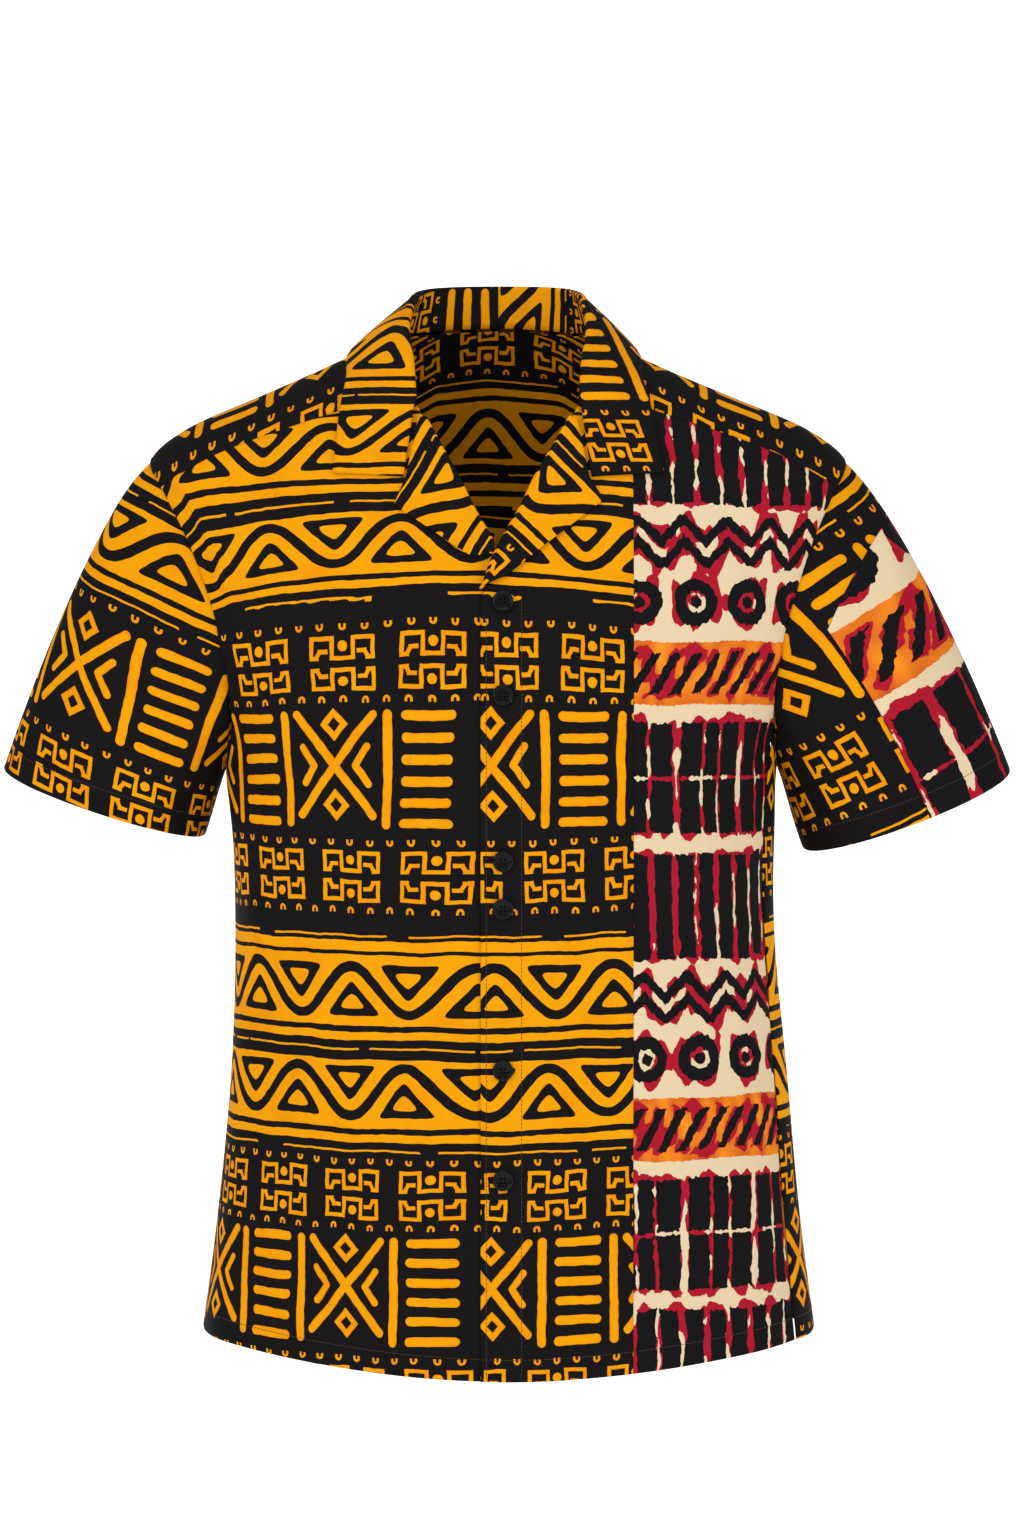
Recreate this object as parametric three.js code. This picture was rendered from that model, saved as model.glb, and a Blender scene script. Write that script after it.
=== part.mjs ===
// A man's short-sleeved ankara shirt with a camp collar, in the hollow form that it has when it is worn.
// Millimetres, +Z up. X runs to the left arm's side, the front faces -Y. The origin is the middle of the
// neck opening, level with the shoulders' neck ends.
//
// The body is one smooth surface, read by an angle round the body (0 at the centre front, 90 degrees at the
// left side, 180 at the centre back) and a height. Every panel is a patch of that surface, given a wall.
import * as THREE from 'three';

const clothThickness = 1.6;
const seamInset = 0.3;
const lapLift = 2.8;
const lapelLift = 2.8;
const leafLift = 3.4;
const rad = Math.PI / 180;

// Body sections from the neck down: centre line, half width, depth in front and behind, and how square.
const sections = [
  { z: 30, shift: -5, half: 48, front: 46, back: 67, square: 0 },
  { z: 19, shift: -5, half: 74, front: 54, back: 77, square: 0 },
  { z: 8, shift: -6, half: 96, front: 60, back: 84, square: 0 },
  { z: -10, shift: -6, half: 135, front: 66, back: 93, square: 0 },
  { z: -28, shift: -5, half: 177, front: 74, back: 100, square: 0.01 },
  { z: -52, shift: -4, half: 232, front: 87, back: 108, square: 0.02 },
  { z: -76, shift: -3, half: 261, front: 98, back: 114, square: 0.03 },
  { z: -105, shift: -2, half: 261, front: 109, back: 119, square: 0.04 },
  { z: -140, shift: -1, half: 254, front: 120, back: 124, square: 0.05 },
  { z: -175, shift: 0, half: 246, front: 129, back: 126, square: 0.05 },
  { z: -210, shift: 0, half: 234, front: 135, back: 127, square: 0.05 },
  { z: -250, shift: 0, half: 219, front: 139, back: 126, square: 0.05 },
  { z: -303, shift: 0, half: 206, front: 141, back: 121, square: 0.05 },
  { z: -400, shift: 1, half: 201, front: 139, back: 114, square: 0.05 },
  { z: -520, shift: 5, half: 207, front: 136, back: 114, square: 0.05 },
  { z: -640, shift: 5, half: 218, front: 135, back: 120, square: 0.05 },
  { z: -760, shift: 5, half: 234, front: 137, back: 129, square: 0.05 },
];

// The armhole is an oval on the body's side, stepped in 30 parts from the shoulder point forwards.
const armhole = { middle: -189.5, high: 113.5, frontAngle: 32 * rad, backAngle: 30 * rad, steps: 30 };
const yokeStep = 3;
const stripStep = 12;
const seamSteps = 12;
const contrastStep = 2;

// Hem: its height at the side seams, and how far it dips at the centre front and back.
const hem = { side: -724, frontDip: 23, backDip: 18 };

// Front opening: where each front's edge runs, then the roll line on which it turns out, as distances from
// the neck's centre line on the front's own side.
const lap = { leftEdge: -15, rightEdge: 20 };
const neckShift = -3;
const rollLine = [
  { out: -12, z: -186 },
  { out: 0, z: -151 },
  { out: 19, z: -117 },
  { out: 29, z: -96 },
  { out: 44, z: -69 },
  { out: 58, z: -42 },
];
const frontSeam = [
  { out: 68, z: -33 },
  { out: 90, z: -36 },
  { out: 115, z: -43 },
  { out: 155, z: -56 },
  { out: 190, z: -68 },
  { out: 214, z: -78 },
];
// Neck edge from the front shoulder seam round to the centre back: angle in degrees, height.
const neckEdge = [
  { angle: 21, z: -33 },
  { angle: 30, z: -14 },
  { angle: 51, z: 7 },
  { angle: 90, z: 19 },
  { angle: 118, z: 22 },
  { angle: 138, z: 26 },
  { angle: 180, z: 29 },
];
const backSeamDip = 8;

// Contrast panel in the left front: its straight inner edge at the hem, and the angle of its outer edge there.
const contrast = { innerEdge: 95, hemAngle: 63 * rad };

// Lapels: the point, the lower edge from there, its foot at the opening, and the foot of the roll.
const lapels = {
  right: { point: [75, -116], lower: [[50, -133], [34, -144], [19, -154]], foot: [7, -161], roll: [4, -152] },
  left: { point: [77, -112], lower: [[51, -133], [31, -149], [8, -168]], foot: [-9, -181], roll: [-10, -176] },
};

// Collar stations from the front corner round to the centre back. The roll is where the collar turns over,
// the edge is where the leaf ends on the body, outward is the way that the roll faces.
const collarStations = [
  { base: [17, -46], roll: [60.5, -83.5, -41], edge: [26.5, -92], outward: 12, tilt: 0.5, lift: 4 },
  { base: [28, -15], roll: [64, -68, -9], edge: [29.5, -51], outward: 38, tilt: 0.35, lift: 4.4 },
  { base: [51, 7], roll: [68, -38, 20], edge: [41, -23], outward: 64, tilt: 0.2, lift: 5 },
  { base: [90, 19], roll: [64, 6, 45], edge: [90, 3], outward: 92, tilt: 0.1, lift: 4.6 },
  { base: [118, 22], roll: [57, 40, 54], edge: [124, -3], outward: 125, tilt: 0, lift: 5 },
  { base: [138, 26], roll: [39, 60, 58], edge: [150, -4], outward: 150, tilt: 0, lift: 7 },
  { base: [180, 29], roll: [0, 73, 60], edge: [180, -3], outward: 180, tilt: 0, lift: 8 },
];
const notch = [68, -95];
const gorgeGap = 1.5;
const collarFold = 3.4;

// Sleeves: middle of the hem ring, half width and half depth, tilt, and how far the ring dips in front.
const sleeves = {
  right: { side: -1, centre: [-298, 0, -331], half: 79.5, depth: 62, tilt: 18.7 * rad, dip: 8 },
  left: { side: 1, centre: [303.5, 0, -337], half: 83, depth: 62, tilt: 21 * rad, dip: 10 },
};
const sleeveRows = [0, 0.07, 0.16, 0.28, 0.42, 0.56, 0.7, 0.85, 1];
const sleevePatch = { topRow: 3, backStep: 24, frontStep: 7 };

const buttonHeights = [-187, -254, -373, -407, -523, -602];
const button = { radius: 7.5, rim: 1.4, thick: 3, dish: 1.1, x: 1, gap: 0.5 };

const colours = { print: 0xd08a16, contrast: 0xe6d3ab, button: 0x17161a };

// Reads one column of a table at a key, by a smooth cubic whose slope at each row comes from its neighbours.
function column(rows, key, name, at) {
  const direction = Math.sign(rows[1][key] - rows[0][key]);
  let i = 0;
  while (i < rows.length - 2 && (at - rows[i + 1][key]) * direction > 0) i += 1;
  const slope = (j) => {
    const before = rows[Math.max(j - 1, 0)];
    const after = rows[Math.min(j + 1, rows.length - 1)];
    return (after[name] - before[name]) / (after[key] - before[key]);
  };
  const span = rows[i + 1][key] - rows[i][key];
  const t = (at - rows[i][key]) / span;
  const rise = rows[i + 1][name] - rows[i][name];
  const start = slope(i) * span;
  const end = slope(i + 1) * span;
  return rows[i][name] + t * start + t * t * (3 * rise - 2 * start - end) + t ** 3 * (start + end - 2 * rise);
}

const section = (z, name) => column(sections, 'z', name, z);

function bodyPoint(angle, z) {
  const fullness = 1 + section(z, 'square') * Math.sin(2 * angle) ** 2;
  const depth = section(z, Math.cos(angle) > 0 ? 'front' : 'back');
  const x = section(z, 'shift') + section(z, 'half') * fullness * Math.sin(angle);
  return new THREE.Vector3(x, -depth * fullness * Math.cos(angle), z);
}

function bodyNormal(angle, z) {
  const round = bodyPoint(angle + 0.01, z).sub(bodyPoint(angle - 0.01, z));
  const up = bodyPoint(angle, z + 0.5).sub(bodyPoint(angle, z - 0.5));
  return round.cross(up).normalize();
}

const raised = (angle, z, lift) => bodyPoint(angle, z).addScaledVector(bodyNormal(angle, z), lift);

// The angle in front at which the body has the given x at the given height.
function angleAt(x, z) {
  let low = -Math.PI / 2;
  let high = Math.PI / 2;
  for (let i = 0; i < 40; i += 1) {
    const middle = (low + high) / 2;
    if (bodyPoint(middle, z).x < x) low = middle;
    else high = middle;
  }
  return (low + high) / 2;
}

const onFront = (side, out, z) => [angleAt(side * out + neckShift, z), z];
const blend = (a, b, t) => a.map((value, i) => value + (b[i] - value) * t);
const smooth = (t) => {
  const c = Math.min(Math.max(t, 0), 1);
  return c * c * (3 - 2 * c);
};
const range = (count) => Array.from({ length: count + 1 }, (_, i) => i / count);

function hemHeight(angle) {
  const toward = Math.cos(angle);
  return hem.side - (toward > 0 ? hem.frontDip : hem.backDip) * Math.abs(toward) ** 3;
}

// A point of the armhole's oval: steps run forwards from the shoulder point, under the arm and up the back.
function armholeAt(side, step) {
  const turn = (step / armhole.steps) * 2 * Math.PI;
  const reach = Math.sin(turn) > 0 ? armhole.frontAngle : armhole.backAngle;
  return [side * (Math.PI / 2 - reach * Math.sin(turn)), armhole.middle + armhole.high * Math.cos(turn)];
}

// The front shoulder seam from the neck (0) to the armhole (1), as an angle and a height.
function frontSeamAt(side, t) {
  const end = armholeAt(side, yokeStep);
  const endOut = side * (bodyPoint(...end).x - neckShift);
  const rows = [...frontSeam, { out: endOut, z: end[1] }];
  const out = frontSeam[0].out + (endOut - frontSeam[0].out) * t;
  return onFront(side, out, column(rows, 'out', 'z', out));
}

// Splits a run of corner points into equal steps: counts says how many steps each leg has.
function run(corners, counts) {
  const points = [corners[0]];
  counts.forEach((count, leg) => {
    for (let i = 1; i <= count; i += 1) points.push(blend(corners[leg], corners[leg + 1], i / count));
  });
  return points;
}

// A patch between four edges. Each edge is a list of points, bottom and top from inner to outer, inner and
// outer from the bottom up.
function patch(inner, outer, bottom, top) {
  const rows = inner.length - 1;
  const columns = bottom.length - 1;
  return inner.map((_, r) => bottom.map((__, c) => {
    const u = c / columns;
    const v = r / rows;
    const across = blend(inner[r], outer[r], u);
    const along = blend(bottom[c], top[c], v);
    const corners = blend(blend(bottom[0], bottom[columns], u), blend(top[0], top[columns], u), v);
    return across.map((value, i) => value + along[i] - corners[i]);
  }));
}

// Draws the outermost points of a patch inwards, which leaves the seam's gap to its neighbour.
function inset(grid) {
  const rows = grid.length - 1;
  const columns = grid[0].length - 1;
  const draw = (point, inwards) => {
    const reach = bodyPoint(...point).distanceTo(bodyPoint(...inwards));
    return blend(point, inwards, seamInset / reach);
  };
  const sides = grid.map((row) => row.map((point, c) => {
    if (c === 0) return draw(point, row[1]);
    return c === columns ? draw(point, row[c - 1]) : point;
  }));
  return sides.map((row, r) => row.map((point, c) => {
    if (r === 0) return draw(point, sides[1][c]);
    return r === rows ? draw(point, sides[r - 1][c]) : point;
  }));
}

const group = new THREE.Group();

function addMesh(name, positions, indices, colour, roughness) {
  const geometry = new THREE.BufferGeometry();
  geometry.setAttribute('position', new THREE.Float32BufferAttribute(positions, 3));
  geometry.setIndex(indices);
  geometry.computeVertexNormals();
  const mesh = new THREE.Mesh(geometry, new THREE.MeshStandardMaterial({ color: colour, roughness, metalness: 0 }));
  mesh.name = name;
  group.add(mesh);
}

// The inner face of a grid that lies on no panel: one thickness under it, square to the grid.
function innerFace(grid, around) {
  const rows = grid.length;
  const columns = grid[0].length;
  const step = (c, by) => (around ? (c + by + columns) % columns : Math.min(Math.max(c + by, 0), columns - 1));
  return grid.map((row, r) => row.map((point, c) => {
    const across = row[step(c, 1)].clone().sub(row[step(c, -1)]);
    const along = grid[Math.min(r + 1, rows - 1)][c].clone().sub(grid[Math.max(r - 1, 0)][c]);
    return point.clone().addScaledVector(across.cross(along).normalize(), -clothThickness);
  }));
}

// Gives a grid of surface points a wall: the grid is the outer face, the inner grid lies under it, and the
// free edges are closed. A grid that goes round is joined to itself. Cells may be left out.
function wall(name, grid, colour, { around = false, kept = () => true, inner = innerFace(grid, around) } = {}) {
  const rows = grid.length;
  const columns = grid[0].length;
  const count = rows * columns;
  const cells = around ? columns : columns - 1;
  const used = (r, c) => r >= 0 && r < rows - 1 && (around || (c >= 0 && c < cells)) && kept(r, (c + cells) % cells);
  const points = [...grid.flat(), ...inner.flat()];
  const indices = [];
  const quad = (a, b, c, d) => {
    const flip = points[b].distanceTo(points[d]) < points[a].distanceTo(points[c]);
    indices.push(...(flip ? [b, c, d, b, d, a] : [a, b, c, a, c, d]));
  };
  for (let r = 0; r < rows - 1; r += 1) {
    for (let c = 0; c < cells; c += 1) {
      if (used(r, c)) {
        const next = (c + 1) % columns;
        const [a, b, d, e] = [r * columns + c, r * columns + next, (r + 1) * columns + next, (r + 1) * columns + c];
        quad(a, b, d, e);
        quad(a + count, e + count, d + count, b + count);
        if (!used(r - 1, c)) quad(b, a, a + count, b + count);
        if (!used(r + 1, c)) quad(e, d, d + count, e + count);
        if (!used(r, c - 1)) quad(a, e, e + count, a + count);
        if (!used(r, c + 1)) quad(d, b, b + count, d + count);
      }
    }
  }
  const places = new Map();
  const positions = [];
  const packed = indices.map((index) => {
    if (!places.has(index)) {
      places.set(index, positions.length / 3);
      positions.push(...points[index].toArray());
    }
    return places.get(index);
  });
  addMesh(name, positions, packed, colour, 0.75);
}

// A panel of the body: its patch of angles and heights, raised where it laps over another panel. Side -1
// runs the other way round, so its rows are turned to keep the outer face outside.
function panel(name, side, grid, colour, lift = () => 0) {
  const flat = inset(grid).map((row) => (side < 0 ? row.reverse() : row));
  const face = (under) => flat.map((row) => row.map((point) => raised(...point, lift(...point) - under)));
  wall(name, face(0), colour, { inner: face(clothThickness) });
}

// Fronts
const underarm = (side) => armholeAt(side, armhole.steps / 2);
const openingRows = 5;
const skirtRows = 10;
const rollRows = 7;

function frontInner(side, edge) {
  const below = rollLine[0].z - 8;
  const heights = run([[hemHeight(0)], [underarm(side)[1]], [below]], [skirtRows, openingRows]);
  const straight = heights.map(([z]) => [angleAt(edge, z), z]);
  const rows = range(rollRows - 1).map((t) => {
    const z = rollLine[0].z + (rollLine.at(-1).z - rollLine[0].z) * t;
    return onFront(side, column(rollLine, 'z', 'out', z), z);
  });
  return [...straight, ...rows];
}

function hemRun(from, to, count) {
  return range(count).map((t) => {
    const angle = from + (to - from) * t;
    return [angle, hemHeight(angle)];
  });
}

function armholeRun(side, from, to) {
  const count = Math.abs(to - from);
  return range(count).map((t) => armholeAt(side, from + (to - from) * t));
}

function frontRight() {
  const side = -1;
  const columns = seamSteps + 1;
  const inner = frontInner(side, lap.rightEdge);
  const hemSide = [side * Math.PI / 2, hem.side];
  const skirt = run([hemSide, underarm(side)], [skirtRows]);
  const outer = [...skirt, ...armholeRun(side, armhole.steps / 2, yokeStep).slice(1)];
  const top = [inner.at(-1), ...range(seamSteps).map((t) => frontSeamAt(side, t))];
  panel('front_right', side, patch(inner, outer, hemRun(inner[0][0], hemSide[0], columns), top), colours.print);
}

const contrastEdge = (count) => {
  const seam = bodyPoint(...frontSeamAt(1, contrastStep / seamSteps));
  const foot = hemHeight(angleAt(contrast.innerEdge, hem.side));
  return range(count).map((t) => {
    const z = foot + (seam.z - foot) * t;
    return [angleAt(contrast.innerEdge + (seam.x - contrast.innerEdge) * t, z), z];
  });
};

function frontLeft() {
  const side = 1;
  const inner = frontInner(side, lap.leftEdge);
  const rows = inner.length - 1;
  const middle = contrastEdge(rows);
  const seam = range(seamSteps).map((t) => frontSeamAt(side, t));
  const innerTop = [...run([inner.at(-1), seam[0]], [2]), ...seam.slice(1, contrastStep + 1)];
  const overlap = (angle, z) => lapLift * (1 - smooth((bodyPoint(angle, z).x - 24) / 36));
  const bottom = hemRun(inner[0][0], middle[0][0], innerTop.length - 1);
  panel('front_left_inner', side, patch(inner, middle, bottom, innerTop), colours.print, overlap);

  const hemOuter = [contrast.hemAngle, hemHeight(contrast.hemAngle)];
  const stripTop = armholeAt(side, stripStep);
  const armRows = stripStep - yokeStep;
  const outer = [...run([hemOuter, stripTop], [rows - armRows]), ...armholeRun(side, stripStep, yokeStep).slice(1)];
  const contrastTop = seam.slice(contrastStep);
  const contrastFoot = hemRun(middle[0][0], contrast.hemAngle, contrastTop.length - 1);
  panel('front_left_panel', side, patch(middle, outer, contrastFoot, contrastTop), colours.contrast);

  const stripRows = 12;
  const stripInner = run([hemOuter, stripTop], [stripRows]);
  const stripOuter = run([[Math.PI / 2, hem.side], underarm(side)], [stripRows]);
  const columns = armhole.steps / 2 - stripStep;
  const stripFoot = hemRun(contrast.hemAngle, Math.PI / 2, columns);
  const stripHead = armholeRun(side, stripStep, armhole.steps / 2);
  panel('front_left_side', side, patch(stripInner, stripOuter, stripFoot, stripHead), colours.print);
}

// Back and yoke
function backSeam(count) {
  const left = armholeAt(1, armhole.steps - yokeStep);
  const right = armholeAt(-1, armhole.steps - yokeStep);
  return range(count).map((t) => {
    const angle = left[0] + (right[0] + 2 * Math.PI - left[0]) * t;
    return [angle, left[1] - backSeamDip * Math.sin(Math.PI * t)];
  });
}

const turned = (points) => points.map(([angle, z]) => [angle + 2 * Math.PI, z]);

const backColumns = 14;

function back() {
  const edge = (side) => {
    const skirt = run([[side * Math.PI / 2, hem.side], underarm(side)], [skirtRows]);
    return [...skirt, ...armholeRun(side, armhole.steps / 2, armhole.steps - yokeStep).slice(1)];
  };
  const foot = hemRun(Math.PI / 2, 1.5 * Math.PI, backColumns);
  panel('back', 1, patch(edge(1), turned(edge(-1)), foot, backSeam(backColumns)), colours.print);
}

function neckRun(count) {
  const start = neckEdge[0].angle;
  const half = range(count).slice(1).map((t) => {
    const angle = start + (180 - start) * t;
    return [angle * rad, column(neckEdge, 'angle', 'z', angle)];
  });
  const left = [frontSeamAt(1, 0), ...half];
  const right = half.slice(0, -1).reverse().map(([angle, z]) => [2 * Math.PI - angle, z]);
  return [...left, ...right, ...turned([frontSeamAt(-1, 0)])];
}

function yoke() {
  const neck = neckRun(2 * yokeStep + backColumns / 2);
  const leftArm = armholeRun(1, yokeStep, -yokeStep);
  const rightArm = turned(armholeRun(-1, -yokeStep, yokeStep));
  const outer = [...leftArm, ...backSeam(backColumns).slice(1, -1), ...rightArm];
  const across = seamSteps;
  const start = range(across).map((t) => frontSeamAt(1, 1 - t));
  const end = turned(range(across).map((t) => frontSeamAt(-1, 1 - t)));
  panel('yoke', 1, patch(start, end, outer, neck), colours.print);
}

// Lapels: the facing that shows where each front turns out at the neck. Each is a patch from the roll line
// out to its front edge, which runs from the point to the notch and up the gorge to the lapel's narrow top.
function lapel(name, side, shape) {
  const rows = 9;
  const columns = 5;
  const end = rollLine.at(-1);
  const topHeight = end.z - 9;
  const roll = range(rows).map((t) => {
    if (t === 0) return shape.roll;
    const z = shape.roll[1] + (topHeight - shape.roll[1]) * t;
    return [Math.max(column(rollLine, 'z', 'out', z), shape.roll[0]), z];
  });
  const lower = run([shape.foot, ...[...shape.lower].reverse(), shape.point], [1, 1, 1, 2]);
  const meeting = [notch[0] - gorgeGap, notch[1]];
  const gorgeTop = blend([end.out - gorgeGap, end.z], meeting, (end.z - topHeight) / (end.z - notch[1]));
  const front = run([shape.point, meeting, gorgeTop], [4, rows - 4]);
  const bottom = [shape.roll, ...lower.slice(1)];
  const grid = patch(roll, front, bottom, run([roll.at(-1), gorgeTop], [columns]));
  const points = grid.map((row) => row.map(([out, z], c) => {
    const [angle, height] = onFront(side, out, z);
    const overlap = side > 0 ? lapLift * (1 - smooth((out - 21) / 36)) : 0;
    return raised(angle, height, overlap + lapelLift + 1.2 * (1 - c / columns));
  }));
  wall(name, side < 0 ? points.map((row) => row.reverse()) : points, colours.print);
}

// Collar: two halves joined at the centre back. The stand rises from the neck edge, turns over at the roll
// and falls as the leaf.
function collarProfile(station, side, index) {
  const [rollX, rollY, rollZ] = station.roll;
  const roll = new THREE.Vector3(side * rollX + neckShift, rollY, rollZ);
  const facing = station.outward * rad;
  const outward = new THREE.Vector3(side * Math.sin(facing), -Math.cos(facing), station.tilt).normalize();
  const base = raised(side * station.base[0] * rad, station.base[1], index === 0 ? 2.4 : 0);
  if (index > 0) base.addScaledVector(new THREE.Vector3(outward.x, outward.y, 0).normalize(), -2.6);
  base.z += 1.5;
  const edge = raised(side * station.edge[0] * rad, station.edge[1], station.lift);
  const along = outward.clone().cross(edge.clone().sub(roll)).normalize();
  const top = along.clone().cross(outward).normalize();
  if (top.dot(edge.clone().sub(roll)) > 0) top.negate();
  const fold = index === 0 ? clothThickness * 1.3 : collarFold;
  const turn = (degrees) => roll.clone()
    .addScaledVector(outward, -Math.cos(degrees * rad) * fold)
    .addScaledVector(top, Math.sin(degrees * rad) * fold);
  const inside = turn(0);
  const outside = turn(180);
  const middle = index === 0
    ? raised(...onFront(side, ...notch), leafLift)
    : outside.clone().lerp(edge, 0.5).addScaledVector(outward, 2).addScaledVector(top, 1);
  const between = (a, b, count) => range(count).slice(1).map((t) => a.clone().lerp(b, t));
  const leaf = index === 0
    ? [...between(outside, middle, 3), ...between(middle, edge, 3)]
    : range(6).slice(1).map((t) => new THREE.QuadraticBezierCurve3(outside, middle, edge).getPoint(t));
  return [base, ...between(base, inside, 2), turn(60), turn(120), outside, ...leaf];
}

// How far out a point lies, as a share of the body's section at its height: 0 is on the surface.
function bodyLevel({ x, y, z }) {
  const across = (x - section(z, 'shift')) / section(z, 'half');
  const deep = y / section(z, y < 0 ? 'front' : 'back');
  const reach = Math.hypot(across, deep);
  const twice = (2 * across * deep) / reach ** 2;
  return reach / (1 + section(z, 'square') * twice ** 2) - 1;
}

// Moves a point of the leaf straight out of the body until it is one leaf's lift clear of it.
function clearOfBody(point) {
  if (point.z > neckEdge[2].z) return point;
  const slope = new THREE.Vector3(...['x', 'y', 'z'].map((axis) => {
    const beyond = point.clone();
    const before = point.clone();
    beyond[axis] += 0.5;
    before[axis] -= 0.5;
    return bodyLevel(beyond) - bodyLevel(before);
  }));
  const steep = slope.length();
  const short = leafLift - bodyLevel(point) / steep;
  return short > 0 ? point.addScaledVector(slope, short / steep) : point;
}

function collar() {
  const left = collarStations.map((station, i) => collarProfile(station, 1, i));
  const right = collarStations.slice(0, -1).reverse()
    .map((station, i) => collarProfile(station, -1, collarStations.length - 2 - i));
  const profiles = [...left, ...right];
  const centre = collarStations.length - 1;
  profiles[centre].forEach((point) => {
    point.x = neckShift;
  });
  const perStation = 2;
  const last = profiles.length - 1;
  const lines = profiles[0].map((_, k) => new THREE.CatmullRomCurve3(profiles.map((profile) => profile[k])));
  const grid = range(last * perStation).map((t) => lines.map((line, k) => {
    const point = line.getPoint(t);
    return k > 5 ? clearOfBody(point) : point;
  }));
  const back = centre * perStation;
  const half = (rows, side) => rows.map((row, r) => row.map((point) => {
    const atCentre = r === (side > 0 ? back : 0);
    return atCentre ? point.clone().setX(neckShift + side * seamInset) : point;
  }));
  wall('collar_left', half(grid.slice(0, back + 1), 1), colours.print);
  wall('collar_right', half(grid.slice(back), -1), colours.print);
}

// Sleeves: each line runs from the armhole to the hem ring, leaving the armhole along the shoulder's slope
// and reaching the hem along the arm.
function sleevePoint(sleeve, step, t) {
  const { side } = sleeve;
  const turn = (step / armhole.steps) * 2 * Math.PI;
  const [angle, z] = armholeAt(side, step);
  const toTop = ((1 + Math.cos(turn)) / 2) ** 2;
  const toUnder = ((1 - Math.cos(turn)) / 2) ** 2;
  const toFront = Math.sin(turn) ** 2;
  const leave = new THREE.Vector3(side * 0.77, 0, -0.64).multiplyScalar(toTop)
    .addScaledVector(new THREE.Vector3(side * 0.5, 0, -0.86), toUnder)
    .addScaledVector(new THREE.Vector3(side * 0.7, -0.3 * Math.sin(turn), -0.65), toFront)
    .normalize();
  const start = raised(angle, z, 0.4 + 0.8 * toUnder).addScaledVector(leave, 0.7);
  const axis = new THREE.Vector3(side * Math.sin(sleeve.tilt), 0, -Math.cos(sleeve.tilt));
  const wide = new THREE.Vector3(side * Math.cos(sleeve.tilt), 0, Math.sin(sleeve.tilt));
  const end = new THREE.Vector3(...sleeve.centre)
    .addScaledVector(wide, sleeve.half * Math.cos(turn))
    .addScaledVector(axis, sleeve.dip * Math.sin(turn));
  end.y -= sleeve.depth * Math.sin(turn);
  const length = start.distanceTo(end);
  const first = start.clone().addScaledVector(leave, length * 0.16);
  const second = end.clone().addScaledVector(axis, -length * 0.42);
  return new THREE.CubicBezierCurve3(start, first, second, end).getPoint(t);
}

// Steps run forwards from the top: on the left arm that is the other way round than on the right.
function sleeveGrid(sleeve, rows, steps) {
  return rows.map((t) => {
    const ring = steps.map((step) => sleevePoint(sleeve, step, t));
    return sleeve.side < 0 ? ring : ring.reverse();
  });
}

const allSteps = Array.from({ length: armhole.steps }, (_, i) => i);

function sleeveLeft() {
  const { topRow, backStep, frontStep } = sleevePatch;
  const inPatch = (r, step) => r >= topRow && (step < frontStep || step >= backStep);
  const kept = (r, c) => !inPatch(r, (armhole.steps - 2 - c + armhole.steps) % armhole.steps);
  wall('sleeve_left', sleeveGrid(sleeves.left, sleeveRows, allSteps), colours.print, { around: true, kept });
  const inwards = 0.035;
  const steps = range(armhole.steps - backStep + frontStep)
    .map((t) => backStep + (armhole.steps - backStep + frontStep) * t);
  steps[0] += inwards;
  steps[steps.length - 1] -= inwards;
  const rows = sleeveRows.slice(topRow);
  rows[0] += 0.003;
  wall('sleeve_left_panel', sleeveGrid(sleeves.left, rows, steps), colours.contrast);
}

function sleeveRight() {
  wall('sleeve_right', sleeveGrid(sleeves.right, sleeveRows, allSteps), colours.print, { around: true });
}

// Buttons: a turned disc with a raised rim round a dished middle, flat on the left front.
function buttons() {
  const { radius, rim, thick, dish } = button;
  const outline = [
    [0, 0], [radius - 0.8, 0], [radius, 0.9], [radius, thick - 0.6], [radius - 0.6, thick],
    [radius - rim - 0.4, thick], [radius - rim - 1, thick - dish], [0, thick - dish],
  ];
  buttonHeights.forEach((z, i) => {
    const geometry = new THREE.LatheGeometry(outline.map(([x, y]) => new THREE.Vector2(x, y)), 20);
    const material = new THREE.MeshStandardMaterial({ color: colours.button, roughness: 0.3, metalness: 0 });
    const mesh = new THREE.Mesh(geometry, material);
    const angle = angleAt(button.x, z);
    const normal = bodyNormal(angle, z);
    mesh.quaternion.setFromUnitVectors(new THREE.Vector3(0, 1, 0), normal);
    mesh.position.copy(bodyPoint(angle, z)).addScaledVector(normal, lapLift + button.gap);
    mesh.name = `button_${i + 1}`;
    group.add(mesh);
  });
}

frontRight();
frontLeft();
back();
yoke();
collar();
lapel('lapel_right', -1, lapels.right);
lapel('lapel_left', 1, lapels.left);
sleeveRight();
sleeveLeft();
buttons();

export default group;
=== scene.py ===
"""An ankara shirt: a short-sleeved camp-collar shirt of wax-printed cotton, in the form of being worn.

Metres, +Z up. X runs to the left arm's side and the front faces -Y. The origin is the middle of the neck
opening, level with the neck ends of the shoulders.
"""
import math
from functools import partialmethod

import bmesh
import bpy
import numpy as np
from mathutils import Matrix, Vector
from mathutils.bvhtree import BVHTree


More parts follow.
